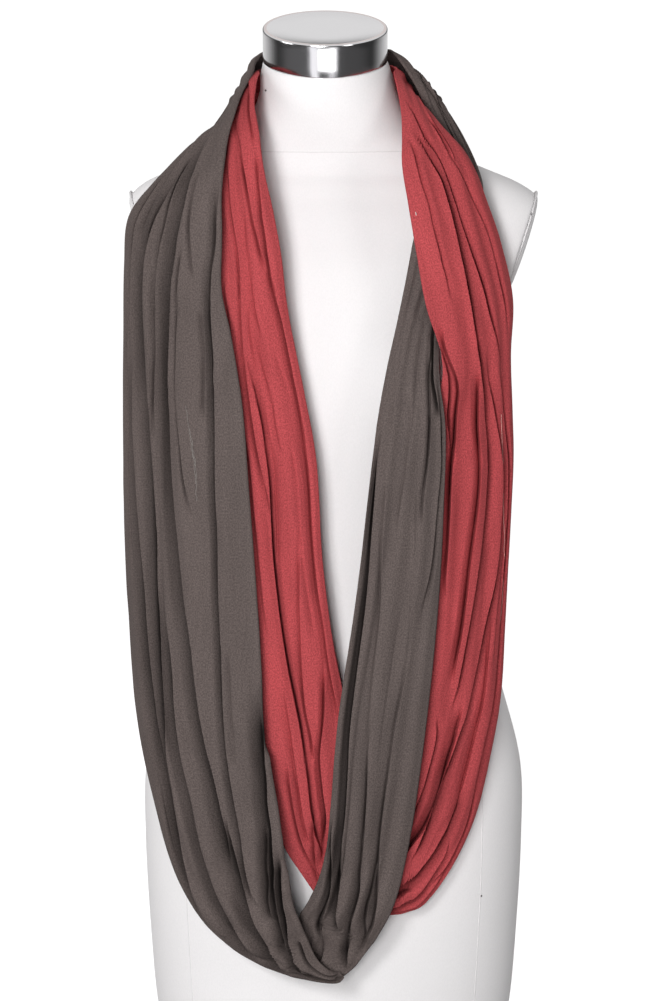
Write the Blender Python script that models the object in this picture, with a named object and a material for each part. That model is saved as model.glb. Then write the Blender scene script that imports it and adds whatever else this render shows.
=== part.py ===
"""Infinity scarf in two colours of jersey, draped on a limbless dress form.

The scarf is two long loops of cloth, one dark and one red, linked through each other.  Each
loop hangs from the back of the neck, runs down the left of the chest, turns at the bottom and
climbs the right side.  Every stretch of cloth is a thin wall that follows a route of stations.
A station holds the two edges of the gathered cloth, so the wall between them can bulge, lie in
long folds and turn back at its edges.

Units are metres, +Z is up, -Y is the front, +X is the wearer's left.
"""

import math
from collections import namedtuple

import bmesh
import bpy
import numpy as np

# ---------------------------------------------------------------- sizes of the dress form

RING_POINTS = 44
SQUARENESS = 2.35                # exponent of the ring's super-ellipse, 2 is an ellipse
ARM_PLANE_X = 0.1465             # the flat armhole face at ARM_PLANE_HEIGHT
ARM_PLANE_HEIGHT = 0.680
ARM_PLANE_LEAN = 0.335           # how far the face moves out for each metre of height
ARM_PLATE_CENTRE = 0.736         # height of the plate's middle
ARM_PLATE_HALF_HEIGHT = 0.052
ARM_PLATE_HALF_DEPTH = 0.040
ARM_PLATE_THICKNESS = 0.007
ARM_PLATE_CENTRE_Y = 0.002
ARM_PLATE_POINTS = 32
ARM_PLATE_PROFILE = ((0.0, 0.97), (0.3, 1.00), (0.75, 0.94), (1.0, 0.70))  # out, size
BUST_HEIGHT = 0.612
BUST_APART = 0.078               # from the middle to each side
BUST_RISE = 0.015
BUST_RADIUS = 0.052
NECK_X = -0.0075                 # the neck stands a little to one side
NECK_TOP = 0.9045
NECK_RADIUS = 0.0555
CAP_RADIUS = 0.0575
CAP_HEIGHT = 0.0305
CAP_EDGE = 0.0025
CAP_LEAN = math.radians(14.5)    # the cap faces slightly forward
CAP_POINTS = 48
SEAT_GAP = 0.0003                # between pieces that touch
MIDDLE_X = 0.002                 # where the form stands, so the whole is centred on the origin
MIDDLE_Y = 0.024

FormRing = namedtuple("FormRing", "height half_width front back centre_x centre_y lean")
FORM_RINGS = (
    FormRing(0.000, 0.1540, 0.098, 0.106, 0.000, 0.000, 0.0),
    FormRing(0.030, 0.1650, 0.106, 0.113, 0.000, 0.000, 0.0),
    FormRing(0.110, 0.1715, 0.110, 0.117, 0.000, 0.000, 0.0),
    FormRing(0.190, 0.1750, 0.111, 0.119, 0.000, 0.000, 0.0),
    FormRing(0.260, 0.1735, 0.107, 0.116, 0.000, 0.000, 0.0),
    FormRing(0.330, 0.1560, 0.098, 0.104, 0.000, 0.000, 0.0),
    FormRing(0.420, 0.1300, 0.088, 0.088, 0.000, 0.000, 0.0),
    FormRing(0.500, 0.1340, 0.090, 0.086, 0.000, 0.000, 0.0),
    FormRing(0.560, 0.1440, 0.095, 0.089, 0.000, 0.000, 0.0),
    FormRing(0.610, 0.1500, 0.098, 0.093, 0.000, 0.000, 0.0),
    FormRing(0.650, 0.1480, 0.097, 0.096, 0.000, 0.000, 0.0),
    FormRing(0.678, 0.1450, 0.093, 0.097, 0.000, 0.000, 0.0),
    FormRing(0.695, 0.1700, 0.090, 0.097, 0.000, 0.000, 0.0),
    FormRing(0.725, 0.1850, 0.083, 0.095, 0.000, 0.000, 0.0),
    FormRing(0.750, 0.1930, 0.074, 0.091, 0.000, 0.000, 0.0),
    FormRing(0.770, 0.1930, 0.066, 0.085, 0.000, 0.000, 0.0),
    FormRing(0.784, 0.1840, 0.058, 0.078, 0.000, 0.002, 0.0),
    FormRing(0.796, 0.1680, 0.055, 0.072, -0.002, 0.003, 0.0),
    FormRing(0.806, 0.1450, 0.052, 0.068, -0.003, 0.004, 0.0),
    FormRing(0.816, 0.1220, 0.050, 0.064, -0.004, 0.004, 0.0),
    FormRing(0.828, 0.0980, 0.050, 0.061, -0.005, 0.004, 0.02),
    FormRing(0.842, 0.0780, 0.051, 0.059, -0.006, 0.003, 0.06),
    FormRing(0.858, 0.0640, 0.053, 0.058, -0.007, 0.002, 0.12),
    FormRing(0.876, 0.0570, 0.055, 0.057, -0.0075, 0.001, 0.20),
    FormRing(NECK_TOP, NECK_RADIUS, NECK_RADIUS, NECK_RADIUS, NECK_X, -0.002, CAP_LEAN),
)

# ---------------------------------------------------------------- sizes of the cloth

CLOTH_THICKNESS = 0.0016
RIDGE_STEPS = (0.0, 0.32, 0.68)     # places across one fold, from crease to crest to crease
CROWN_POWER = 2.6                   # how square the bulge is across a stretch
NEARBY = 0.05                       # how far ahead and behind the heading is read
HOOK_TURNS = ((0.45, -0.10), (0.88, 0.06), (1.05, 0.50))   # back and inward, in turn-backs

Station = namedtuple(
    "Station",
    "outer_x outer_y outer_z inner_x inner_y inner_z crown outer_turn inner_turn",
)

# Each colour's two routes share the stations of their joins, so their ends meet square.
DARK_NECK_JOIN = (
    Station(0.111, 0.008, 0.853, 0.072, -0.008, 0.889, 0.003, 0.006, 0.003),
    Station(0.098, 0.026, 0.862, 0.056, 0.014, 0.911, 0.003, 0.006, 0.003),
    Station(0.070, 0.076, 0.856, 0.044, 0.062, 0.914, 0.003, 0.006, 0.003),
)
RED_NECK_JOIN = (
    Station(0.0820, -0.004, 0.857, 0.0525, -0.020, 0.895, 0.002, 0.004, 0.002),
    Station(0.0830, 0.016, 0.852, 0.0515, 0.008, 0.899, 0.002, 0.004, 0.002),
    Station(0.060, 0.063, 0.847, 0.0375, 0.052, 0.901, 0.002, 0.004, 0.002),
)
RED_BOTTOM_JOIN = (
    Station(-0.0100, -0.125, 0.1600, 0.0300, -0.127, 0.197, 0.003, 0.005, 0.003),
    Station(0.012, -0.126, 0.1510, 0.0375, -0.127, 0.192, 0.003, 0.005, 0.003),
    Station(0.036, -0.126, 0.1475, 0.0450, -0.127, 0.196, 0.003, 0.005, 0.003),
)

# From the right of the neck round its back to the left, then down the left of the chest.
DARK_LEFT_ROUTE = DARK_NECK_JOIN + (
    Station(-0.0075, 0.095, 0.854, -0.0075, 0.079, 0.915, 0.004, 0.006, 0.004),
    Station(-0.081, 0.071, 0.856, -0.058, 0.056, 0.912, 0.003, 0.006, 0.003),
    Station(-0.103, 0.018, 0.856, -0.0730, 0.012, 0.909, 0.003, 0.006, 0.003),
    Station(-0.106, -0.012, 0.850, -0.0745, -0.030, 0.8975, 0.003, 0.006, 0.002),
    Station(-0.112, -0.030, 0.841, -0.0825, -0.058, 0.881, 0.003, 0.006, 0.003),
    Station(-0.119, -0.041, 0.836, -0.0885, -0.080, 0.861, 0.004, 0.006, 0.004),
    Station(-0.137, -0.048, 0.828, -0.0945, -0.096, 0.838, 0.006, 0.006, 0.005),
    Station(-0.163, -0.052, 0.799, -0.099, -0.114, 0.799, 0.008, 0.006, 0.006),
    Station(-0.183, -0.056, 0.769, -0.099, -0.126, 0.754, 0.010, 0.007, 0.006),
    Station(-0.187, -0.058, 0.727, -0.0965, -0.134, 0.713, 0.012, 0.009, 0.006),
    Station(-0.188, -0.060, 0.665, -0.091, -0.140, 0.673, 0.013, 0.012, 0.006),
    Station(-0.189, -0.055, 0.600, -0.079, -0.144, 0.611, 0.015, 0.015, 0.006),
    Station(-0.189, -0.060, 0.515, -0.0715, -0.147, 0.520, 0.016, 0.015, 0.006),
    Station(-0.186, -0.064, 0.420, -0.066, -0.148, 0.425, 0.016, 0.015, 0.006),
    Station(-0.177, -0.072, 0.320, -0.058, -0.149, 0.315, 0.015, 0.014, 0.007),
    Station(-0.160, -0.085, 0.243, -0.0495, -0.151, 0.250, 0.013, 0.012, 0.008),
    Station(-0.140, -0.104, 0.182, -0.045, -0.154, 0.200, 0.011, 0.010, 0.008),
    Station(-0.116, -0.121, 0.142, -0.0405, -0.157, 0.172, 0.009, 0.009, 0.008),
    Station(-0.086, -0.135, 0.117, -0.0315, -0.161, 0.150, 0.007, 0.008, 0.007),
    Station(-0.058, -0.145, 0.1025, -0.0245, -0.164, 0.136, 0.005, 0.007, 0.006),
    Station(-0.032, -0.152, 0.0965, -0.0165, -0.165, 0.119, 0.004, 0.006, 0.005),
    Station(0.000, -0.157, 0.0935, -0.0060, -0.165, 0.1085, 0.003, 0.005, 0.004),
    Station(0.0125, -0.1575, 0.1005, 0.0070, -0.161, 0.1080, 0.002, 0.003, 0.003),
)

# From the bottom up the wearer's left side, under the red cloth, and over the shoulder.
DARK_RIGHT_ROUTE = (
    Station(-0.012, -0.145, 0.0955, -0.026, -0.140, 0.122, 0.002, 0.005, 0.004),
    Station(0.0035, -0.148, 0.0945, -0.027, -0.140, 0.130, 0.003, 0.005, 0.004),
    Station(0.0155, -0.147, 0.1030, -0.028, -0.139, 0.137, 0.003, 0.006, 0.005),
    Station(0.029, -0.150, 0.1220, -0.031, -0.139, 0.149, 0.004, 0.007, 0.006),
    Station(0.040, -0.152, 0.1400, -0.023, -0.140, 0.163, 0.006, 0.007, 0.006),
    Station(0.051, -0.153, 0.1620, -0.013, -0.142, 0.186, 0.007, 0.008, 0.006),
    Station(0.060, -0.153, 0.1920, -0.0065, -0.145, 0.214, 0.008, 0.008, 0.006),
    Station(0.071, -0.153, 0.2500, 0.0000, -0.148, 0.260, 0.008, 0.008, 0.006),
    Station(0.0825, -0.152, 0.3390, 0.0085, -0.150, 0.335, 0.008, 0.008, 0.006),
    Station(0.092, -0.150, 0.4400, 0.020, -0.150, 0.441, 0.008, 0.008, 0.006),
    Station(0.0965, -0.147, 0.5290, 0.030, -0.148, 0.530, 0.008, 0.007, 0.006),
    Station(0.0975, -0.145, 0.5920, 0.038, -0.144, 0.595, 0.007, 0.004, 0.006),
    Station(0.0912, -0.135, 0.6440, 0.047, -0.137, 0.645, 0.005, 0.002, 0.005),
    Station(0.0940, -0.118, 0.6860, 0.057, -0.128, 0.688, 0.004, 0.002, 0.005),
    Station(0.108, -0.106, 0.7200, 0.064, -0.119, 0.722, 0.003, 0.003, 0.004),
    Station(0.121, -0.092, 0.7530, 0.071, -0.107, 0.757, 0.003, 0.003, 0.004),
    Station(0.132, -0.074, 0.7780, 0.080, -0.092, 0.786, 0.003, 0.004, 0.004),
    Station(0.138, -0.056, 0.7960, 0.091, -0.072, 0.811, 0.003, 0.005, 0.004),
    Station(0.135, -0.034, 0.8150, 0.099, -0.046, 0.831, 0.003, 0.005, 0.003),
    Station(0.124, -0.012, 0.8360, 0.093, -0.026, 0.860, 0.003, 0.006, 0.003),
) + DARK_NECK_JOIN

# The red loop lies inside the dark one at the neck and runs under it down the chest.
RED_LEFT_ROUTE = RED_NECK_JOIN + (
    Station(-0.0075, 0.084, 0.846, -0.0075, 0.068, 0.902, 0.002, 0.004, 0.002),
    Station(-0.073, 0.062, 0.848, -0.0525, 0.050, 0.900, 0.002, 0.004, 0.002),
    Station(-0.089, 0.012, 0.857, -0.0665, 0.006, 0.896, 0.001, 0.004, 0.002),
    Station(-0.087, -0.018, 0.860, -0.0655, -0.028, 0.896, 0.001, 0.004, 0.002),
    Station(-0.089, -0.038, 0.862, -0.0665, -0.046, 0.887, 0.002, 0.004, 0.002),
    Station(-0.097, -0.055, 0.848, -0.0665, -0.066, 0.870, 0.003, 0.004, 0.004),
    Station(-0.104, -0.072, 0.826, -0.0625, -0.087, 0.847, 0.004, 0.004, 0.005),
    Station(-0.110, -0.090, 0.793, -0.0590, -0.103, 0.814, 0.004, 0.005, 0.005),
    Station(-0.110, -0.102, 0.760, -0.0510, -0.114, 0.780, 0.005, 0.005, 0.006),
    Station(-0.108, -0.110, 0.725, -0.0465, -0.122, 0.742, 0.005, 0.005, 0.006),
    Station(-0.104, -0.117, 0.680, -0.0400, -0.128, 0.692, 0.005, 0.005, 0.006),
    Station(-0.094, -0.122, 0.610, -0.0260, -0.132, 0.622, 0.006, 0.005, 0.006),
    Station(-0.086, -0.124, 0.545, -0.0150, -0.133, 0.559, 0.006, 0.005, 0.006),
    Station(-0.081, -0.125, 0.460, -0.0100, -0.133, 0.473, 0.006, 0.005, 0.006),
    Station(-0.076, -0.125, 0.385, -0.0020, -0.133, 0.403, 0.006, 0.005, 0.006),
    Station(-0.068, -0.125, 0.315, 0.0030, -0.132, 0.333, 0.005, 0.005, 0.005),
    Station(-0.057, -0.125, 0.260, 0.0080, -0.130, 0.283, 0.004, 0.005, 0.005),
    Station(-0.046, -0.125, 0.215, 0.0145, -0.128, 0.240, 0.003, 0.005, 0.005),
    Station(-0.030, -0.125, 0.187, 0.0240, -0.127, 0.208, 0.003, 0.005, 0.005),
) + RED_BOTTOM_JOIN

RED_RIGHT_ROUTE = RED_BOTTOM_JOIN + (
    Station(0.0535, -0.127, 0.1475, 0.0500, -0.127, 0.205, 0.004, 0.006, 0.004),
    Station(0.066, -0.126, 0.1495, 0.0540, -0.127, 0.218, 0.005, 0.006, 0.005),
    Station(0.083, -0.122, 0.1570, 0.0580, -0.127, 0.236, 0.006, 0.007, 0.005),
    Station(0.107, -0.112, 0.1880, 0.0620, -0.128, 0.258, 0.008, 0.009, 0.005),
    Station(0.128, -0.098, 0.2300, 0.0670, -0.129, 0.288, 0.009, 0.011, 0.005),
    Station(0.143, -0.086, 0.2890, 0.0730, -0.130, 0.325, 0.010, 0.012, 0.005),
    Station(0.152, -0.080, 0.3470, 0.0780, -0.131, 0.365, 0.011, 0.013, 0.005),
    Station(0.157, -0.075, 0.4470, 0.0850, -0.131, 0.450, 0.011, 0.014, 0.005),
    Station(0.161, -0.071, 0.5400, 0.0890, -0.130, 0.540, 0.011, 0.014, 0.005),
    Station(0.1605, -0.072, 0.5900, 0.0900, -0.125, 0.600, 0.011, 0.012, 0.003),
    Station(0.158, -0.075, 0.6475, 0.0960, -0.135, 0.646, 0.010, 0.010, 0.002),
    Station(0.159, -0.080, 0.6990, 0.0820, -0.143, 0.698, 0.009, 0.008, 0.004),
    Station(0.148, -0.082, 0.7490, 0.0740, -0.138, 0.742, 0.008, 0.006, 0.006),
    Station(0.135, -0.078, 0.7870, 0.0665, -0.127, 0.787, 0.007, 0.004, 0.006),
    Station(0.1265, -0.070, 0.8100, 0.0615, -0.112, 0.818, 0.006, 0.004, 0.006),
    Station(0.1140, -0.062, 0.8310, 0.0610, -0.094, 0.838, 0.005, 0.004, 0.005),
    Station(0.0970, -0.048, 0.8480, 0.0580, -0.070, 0.862, 0.004, 0.003, 0.003),
    Station(0.0850, -0.024, 0.8600, 0.0550, -0.043, 0.884, 0.003, 0.004, 0.002),
) + RED_NECK_JOIN

# A crease lies at a share of the way from the outer to the inner edge.  The first six columns
# give that share at the route's marks.  Fullness is the height of the fold beyond the crease as
# a share of its width, and sink is how far the crease lies in at the start, middle and end.
Crease = namedtuple(
    "Crease",
    "start first second third fourth end fullness sink_start sink_middle sink_end",
)

DARK_LEFT_MARKS = (1, 8, 12, 15, 18, 25)
DARK_LEFT_CREASES = (
    Crease(0.00, 0.00, 0.00, 0.00, 0.00, 0.00, 0.10, 0.0, 0.000, 0.0),
    Crease(0.20, 0.22, 0.27, 0.28, 0.21, 0.20, 0.22, 0.0, 0.001, 0.0),
    Crease(0.36, 0.38, 0.40, 0.38, 0.33, 0.36, 0.22, 0.0, 0.001, 0.0),
    Crease(0.52, 0.52, 0.55, 0.46, 0.52, 0.52, 0.14, 0.0, 0.002, 0.0),
    Crease(0.76, 0.76, 0.90, 0.76, 0.68, 0.72, 0.12, 0.0, 0.000, 0.0),
    Crease(1.00, 1.00, 1.00, 1.00, 1.00, 1.00, 0.00, 0.0, 0.000, 0.0),
)

DARK_RIGHT_MARKS = (0, 5, 8, 10, 13, 21)
DARK_RIGHT_CREASES = (
    Crease(0.00, 0.00, 0.00, 0.00, 0.00, 0.00, 0.14, 0.0, 0.000, 0.0),
    Crease(0.20, 0.22, 0.22, 0.14, 0.16, 0.20, 0.16, 0.0, 0.002, 0.0),
    Crease(0.40, 0.46, 0.44, 0.38, 0.38, 0.36, 0.16, 0.0, 0.001, 0.0),
    Crease(0.62, 0.70, 0.76, 0.66, 0.58, 0.52, 0.24, 0.008, 0.001, 0.0),
    Crease(0.84, 0.82, 0.88, 0.90, 0.84, 0.76, 0.24, 0.004, 0.000, 0.0),
    Crease(1.00, 1.00, 1.00, 1.00, 1.00, 1.00, 0.00, 0.0, 0.000, 0.0),
)

RED_LEFT_MARKS = (1, 8, 12, 15, 19, 23)
RED_LEFT_CREASES = (
    Crease(0.00, 0.00, 0.00, 0.00, 0.00, 0.00, 0.12, 0.0, 0.000, 0.0),
    Crease(0.22, 0.30, 0.28, 0.30, 0.40, 0.20, 0.16, 0.0, 0.001, 0.0),
    Crease(0.46, 0.52, 0.52, 0.46, 0.60, 0.44, 0.16, 0.0, 0.002, 0.0),
    Crease(0.72, 0.76, 0.84, 0.90, 0.82, 0.70, 0.22, 0.0, 0.000, 0.0),
    Crease(1.00, 1.00, 1.00, 1.00, 1.00, 1.00, 0.00, 0.0, 0.000, 0.0),
)

RED_RIGHT_MARKS = (1, 5, 8, 11, 14, 22)
RED_RIGHT_CREASES = (
    Crease(0.00, 0.00, 0.00, 0.00, 0.00, 0.00, 0.14, 0.0, 0.000, 0.0),
    Crease(0.20, 0.14, 0.12, 0.14, 0.24, 0.22, 0.18, 0.0, 0.001, 0.0),
    Crease(0.44, 0.40, 0.38, 0.40, 0.46, 0.46, 0.16, 0.0, 0.002, 0.0),
    Crease(0.70, 0.68, 0.70, 0.76, 0.68, 0.72, 0.14, 0.0, 0.000, 0.0),
    Crease(1.00, 1.00, 1.00, 1.00, 1.00, 1.00, 0.00, 0.0, 0.000, 0.0),
)

# A route's own line and folds, and the stretches that it is cut into by place along it.
Route = namedtuple("Route", "stations marks creases")
DARK_LEFT = Route(DARK_LEFT_ROUTE, DARK_LEFT_MARKS, DARK_LEFT_CREASES)
DARK_RIGHT = Route(DARK_RIGHT_ROUTE, DARK_RIGHT_MARKS, DARK_RIGHT_CREASES)
RED_LEFT = Route(RED_LEFT_ROUTE, RED_LEFT_MARKS, RED_LEFT_CREASES)
RED_RIGHT = Route(RED_RIGHT_ROUTE, RED_RIGHT_MARKS, RED_RIGHT_CREASES)

Stretch = namedtuple("Stretch", "node route begin finish rows look")
STRETCHES = (
    Stretch("dark_nape", DARK_LEFT, 1.0, 5.0, 11, "dark"),
    Stretch("dark_left", DARK_LEFT, 5.0, 25.0, 31, "dark"),
    Stretch("dark_right", DARK_RIGHT, 0.0, 16.0, 25, "dark"),
    Stretch("dark_shoulder", DARK_RIGHT, 16.0, 21.0, 10, "dark"),
    Stretch("red_nape", RED_LEFT, 1.0, 5.0, 11, "red"),
    Stretch("red_left", RED_LEFT, 5.0, 23.0, 28, "red"),
    Stretch("red_right", RED_RIGHT, 1.0, 22.0, 31, "red"),
)

Look = namedtuple("Look", "colour roughness metallic")
LOOKS = {
    "dark": Look((0.093, 0.080, 0.069), 0.9, 0.0),
    "red": Look((0.402, 0.051, 0.058), 0.9, 0.0),
    "cover": Look((0.82, 0.81, 0.83), 0.8, 0.0),
    "chrome": Look((0.75, 0.75, 0.76), 0.2, 1.0),
}


# ---------------------------------------------------------------- helpers

def clear_scene():
    """Start from an empty file."""
    for thing in list(bpy.data.objects):
        bpy.data.objects.remove(thing, do_unlink=True)


def make_material(name, look):
    """One material with the cloth's or the form's colour."""
    material = bpy.data.materials.new(name)
    material.use_nodes = True
    shader = material.node_tree.nodes["Principled BSDF"]
    shader.inputs["Base Color"].default_value = (*look.colour, 1.0)
    shader.inputs["Roughness"].default_value = look.roughness
    shader.inputs["Metallic"].default_value = look.metallic
    return material


def add_object(node, points, faces, material):
    """A closed mesh object whose faces all point out."""
    mesh = bpy.data.meshes.new(node)
    mesh.from_pydata([tuple(point) for point in points], [], faces)
    shape = bmesh.new()
    shape.from_mesh(mesh)
    bmesh.ops.recalc_face_normals(shape, faces=shape.faces)
    shape.to_mesh(mesh)
    shape.free()
    mesh.materials.append(material)
    mesh.shade_smooth()
    mesh.set_sharp_from_angle(angle=math.radians(50))
    thing = bpy.data.objects.new(node, mesh)
    thing.parent = bpy.data.objects["stand"]
    bpy.context.scene.collection.objects.link(thing)
    return thing


def place_stand():
    """The empty that carries every piece and sets the whole over the origin."""
    stand = bpy.data.objects.new("stand", None)
    stand.location = (MIDDLE_X, MIDDLE_Y, 0.0)
    bpy.context.scene.collection.objects.link(stand)


def smooth_between(rows, place):
    """Read a table of number rows at a fractional place, along a smooth curve."""
    table = np.asarray(rows, dtype=float)
    last = len(table) - 1
    index = min(int(place), last - 1)
    share = place - index
    before = table[max(index - 1, 0)]
    start = table[index]
    end = table[index + 1]
    after = table[min(index + 2, last)]
    leave = (end - before) / 2
    arrive = (after - start) / 2
    square, cube = share ** 2, share ** 3
    return ((2 * cube - 3 * square + 1) * start + (cube - 2 * square + share) * leave
            + (3 * square - 2 * cube) * end + (cube - square) * arrive)


def unit(vector):
    """The same direction, one metre long."""
    return vector / max(np.linalg.norm(vector), 1e-9)


def loft_faces(rings, around):
    """Quads between rings that each hold the same number of points."""
    faces = []
    for ring in range(rings - 1):
        for point in range(around):
            following = (point + 1) % around
            low, high = ring * around, (ring + 1) * around
            faces.append((low + point, low + following, high + following, high + point))
    return faces


# ---------------------------------------------------------------- the dress form

def arm_plane(height):
    """Half width of the form where the flat armhole face cuts it."""
    return ARM_PLANE_X + ARM_PLANE_LEAN * (height - ARM_PLANE_HEIGHT)


def cut_for_arm(across, height):
    """Keep a point of the form inside the armhole face, above the armhole's foot."""
    if height < ARM_PLANE_HEIGHT:
        return across
    limit = arm_plane(height)
    return max(-limit, min(limit, across))


def bust(across, height):
    """How far the bust stands out in front of the chest."""
    side = (abs(across) - BUST_APART) / BUST_RADIUS
    rise = (height - BUST_HEIGHT) / BUST_RADIUS
    return BUST_RISE * math.exp(-side ** 2 - rise ** 2)


def form_ring(ring):
    """The points of one level of the form, flat where the armholes are cut."""
    points = []
    for step in range(RING_POINTS):
        angle = 2 * math.pi * (step + 0.5) / RING_POINTS
        cosine, sine = math.cos(angle), math.sin(angle)
        depth = ring.back if sine > 0 else ring.front
        across = math.copysign(abs(cosine) ** (2 / SQUARENESS), cosine) * ring.half_width
        along = math.copysign(abs(sine) ** (2 / SQUARENESS), sine) * depth
        across = cut_for_arm(ring.centre_x + across, ring.height)
        if sine < 0:
            along -= bust(across, ring.height) * abs(sine)
        points.append((
            across,
            ring.centre_y + along * math.cos(ring.lean),
            ring.height + along * math.sin(ring.lean),
        ))
    return points


def build_form(material):
    """The limbless torso, closed by a flat base and by the leaning neck face."""
    points = []
    for ring in FORM_RINGS:
        points.extend(form_ring(ring))
    faces = loft_faces(len(FORM_RINGS), RING_POINTS)
    faces.append(tuple(range(RING_POINTS)))
    faces.append(tuple(range(len(points) - RING_POINTS, len(points))))
    return add_object("form_body", points, faces, material)


def build_arm_plate(node, side, material):
    """The oval plate on one armhole face, with a rounded outer rim."""
    lean = math.atan(ARM_PLANE_LEAN)
    outward = np.array((side * math.cos(lean), 0.0, -math.sin(lean)))
    upward = np.array((side * math.sin(lean), 0.0, math.cos(lean)))
    forward = np.array((0.0, -1.0, 0.0))
    centre = np.array((side * arm_plane(ARM_PLATE_CENTRE), ARM_PLATE_CENTRE_Y, ARM_PLATE_CENTRE))
    points = []
    for out, scale in ARM_PLATE_PROFILE:
        for step in range(ARM_PLATE_POINTS):
            angle = 2 * math.pi * step / ARM_PLATE_POINTS
            points.append(centre + outward * (SEAT_GAP + out * ARM_PLATE_THICKNESS)
                          + upward * (scale * ARM_PLATE_HALF_HEIGHT * math.sin(angle))
                          + forward * (scale * ARM_PLATE_HALF_DEPTH * math.cos(angle)))
    faces = loft_faces(len(ARM_PLATE_PROFILE), ARM_PLATE_POINTS)
    faces.append(tuple(range(ARM_PLATE_POINTS)))
    faces.append(tuple(range(len(points) - ARM_PLATE_POINTS, len(points))))
    return add_object(node, points, faces, material)


def build_neck_cap(material):
    """The metal cap that closes the neck, square to the leaning neck."""
    upward = np.array((0.0, -math.sin(CAP_LEAN), math.cos(CAP_LEAN)))
    backward = np.array((0.0, math.cos(CAP_LEAN), math.sin(CAP_LEAN)))
    sideward = np.array((1.0, 0.0, 0.0))
    foot = np.array((NECK_X, FORM_RINGS[-1].centre_y, NECK_TOP)) + upward * SEAT_GAP
    profile = (
        (0.0, CAP_RADIUS - CAP_EDGE / 2),
        (CAP_EDGE / 2, CAP_RADIUS),
        (CAP_HEIGHT - CAP_EDGE, CAP_RADIUS),
        (CAP_HEIGHT - 0.3 * CAP_EDGE, CAP_RADIUS - 0.3 * CAP_EDGE),
        (CAP_HEIGHT, CAP_RADIUS - CAP_EDGE),
    )
    points = []
    for height, radius in profile:
        for step in range(CAP_POINTS):
            angle = 2 * math.pi * step / CAP_POINTS
            points.append(foot + upward * height + sideward * (radius * math.cos(angle))
                          + backward * (radius * math.sin(angle)))
    faces = loft_faces(len(profile), CAP_POINTS)
    faces.append(tuple(range(CAP_POINTS)))
    faces.append(tuple(range(len(points) - CAP_POINTS, len(points))))
    return add_object("neck_cap", points, faces, material)


# ---------------------------------------------------------------- the cloth

def creases_at(route, place):
    """How far across the cloth each crease lies at this place, and how far in it sinks."""
    marks = route.marks
    mark = 0
    while mark < len(marks) - 2 and place > marks[mark + 1]:
        mark += 1
    share = (place - marks[mark]) / (marks[mark + 1] - marks[mark])
    across = smooth_between(list(zip(*route.creases))[:len(marks)], mark + share)
    along = min(max((mark + share) / (len(marks) - 1), 0.0), 1.0)
    sinks = [np.interp(along, (0.0, 0.5, 1.0), crease[-3:]) for crease in route.creases]
    return across, sinks


def middle(route, place):
    """The middle of the cloth at this place along the route."""
    within = min(max(place, 0.0), len(route.stations) - 1)
    station = smooth_between(route.stations, within)
    return (station[0:3] + station[3:6]) / 2


def section(route, place):
    """The middle line of the cloth across one place of its route, edge to edge."""
    station = Station(*smooth_between(route.stations, place))
    outer = np.array(station[0:3])
    inner = np.array(station[3:6])
    chord = inner - outer
    width = np.linalg.norm(chord)
    inward = unit(chord)
    heading = middle(route, place + NEARBY) - middle(route, place - NEARBY)
    outward = unit(np.cross(heading, chord))

    shares, sinks = creases_at(route, place)
    front = []
    for index in range(len(shares) - 1):
        fold = max(shares[index + 1] - shares[index], 0.0)
        height = route.creases[index].fullness * fold * width
        for step in RIDGE_STEPS:
            across = shares[index] + fold * step
            bulge = 1 - abs(2 * across - 1) ** CROWN_POWER
            sink = sinks[index] * (1 - step) + sinks[index + 1] * step
            rise = station.crown * bulge + height * math.sin(math.pi * step) - sink
            front.append(outer + chord * across + outward * rise)
    front.append(inner)

    outer_hook = [outer - outward * (back * station.outer_turn)
                  + inward * (turn * station.outer_turn) for back, turn in HOOK_TURNS]
    inner_hook = [inner - outward * (back * station.inner_turn)
                  - inward * (turn * station.inner_turn) for back, turn in HOOK_TURNS]
    return outer_hook[::-1] + front + inner_hook


def pull_in(rows, gap):
    """Shorten the cloth at both ends by half a seam gap."""
    for end, neighbour in ((0, 1), (-1, -2)):
        step = rows[neighbour] - rows[end]
        length = np.linalg.norm(step, axis=1, keepdims=True)
        rows[end] = rows[end] + step / np.maximum(length, 1e-9) * (gap / 2)


def build_cloth(stretch, material):
    """One stretch of cloth as a closed wall of even thickness."""
    places = np.linspace(stretch.begin, stretch.finish, stretch.rows)
    route = stretch.route
    rows = np.array([section(route, place) for place in places])
    last = len(route.stations) - 1
    ahead = np.array([section(route, min(place + NEARBY, last)) for place in places])
    behind = np.array([section(route, max(place - NEARBY, 0.0)) for place in places])
    pull_in(rows, 2 * SEAT_GAP)
    along = ahead - behind
    across = np.gradient(rows, axis=1)
    normal = np.cross(along, across)
    normal /= np.maximum(np.linalg.norm(normal, axis=2, keepdims=True), 1e-9)
    front = rows + normal * (CLOTH_THICKNESS / 2)
    back = rows - normal * (CLOTH_THICKNESS / 2)
    lengthwise, crosswise = rows.shape[:2]
    points = np.concatenate((front.reshape(-1, 3), back.reshape(-1, 3)))
    layer = lengthwise * crosswise

    def corner(row, column, side):
        return side * layer + row * crosswise + column

    faces = []
    for row in range(lengthwise - 1):
        for column in range(crosswise - 1):
            for side in (0, 1):
                faces.append((corner(row, column, side), corner(row, column + 1, side),
                              corner(row + 1, column + 1, side), corner(row + 1, column, side)))
        for column in (0, crosswise - 1):
            faces.append((corner(row, column, 0), corner(row + 1, column, 0),
                          corner(row + 1, column, 1), corner(row, column, 1)))
    for column in range(crosswise - 1):
        for row in (0, lengthwise - 1):
            faces.append((corner(row, column, 0), corner(row, column + 1, 0),
                          corner(row, column + 1, 1), corner(row, column, 1)))
    return add_object(stretch.node, points, faces, material)


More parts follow.
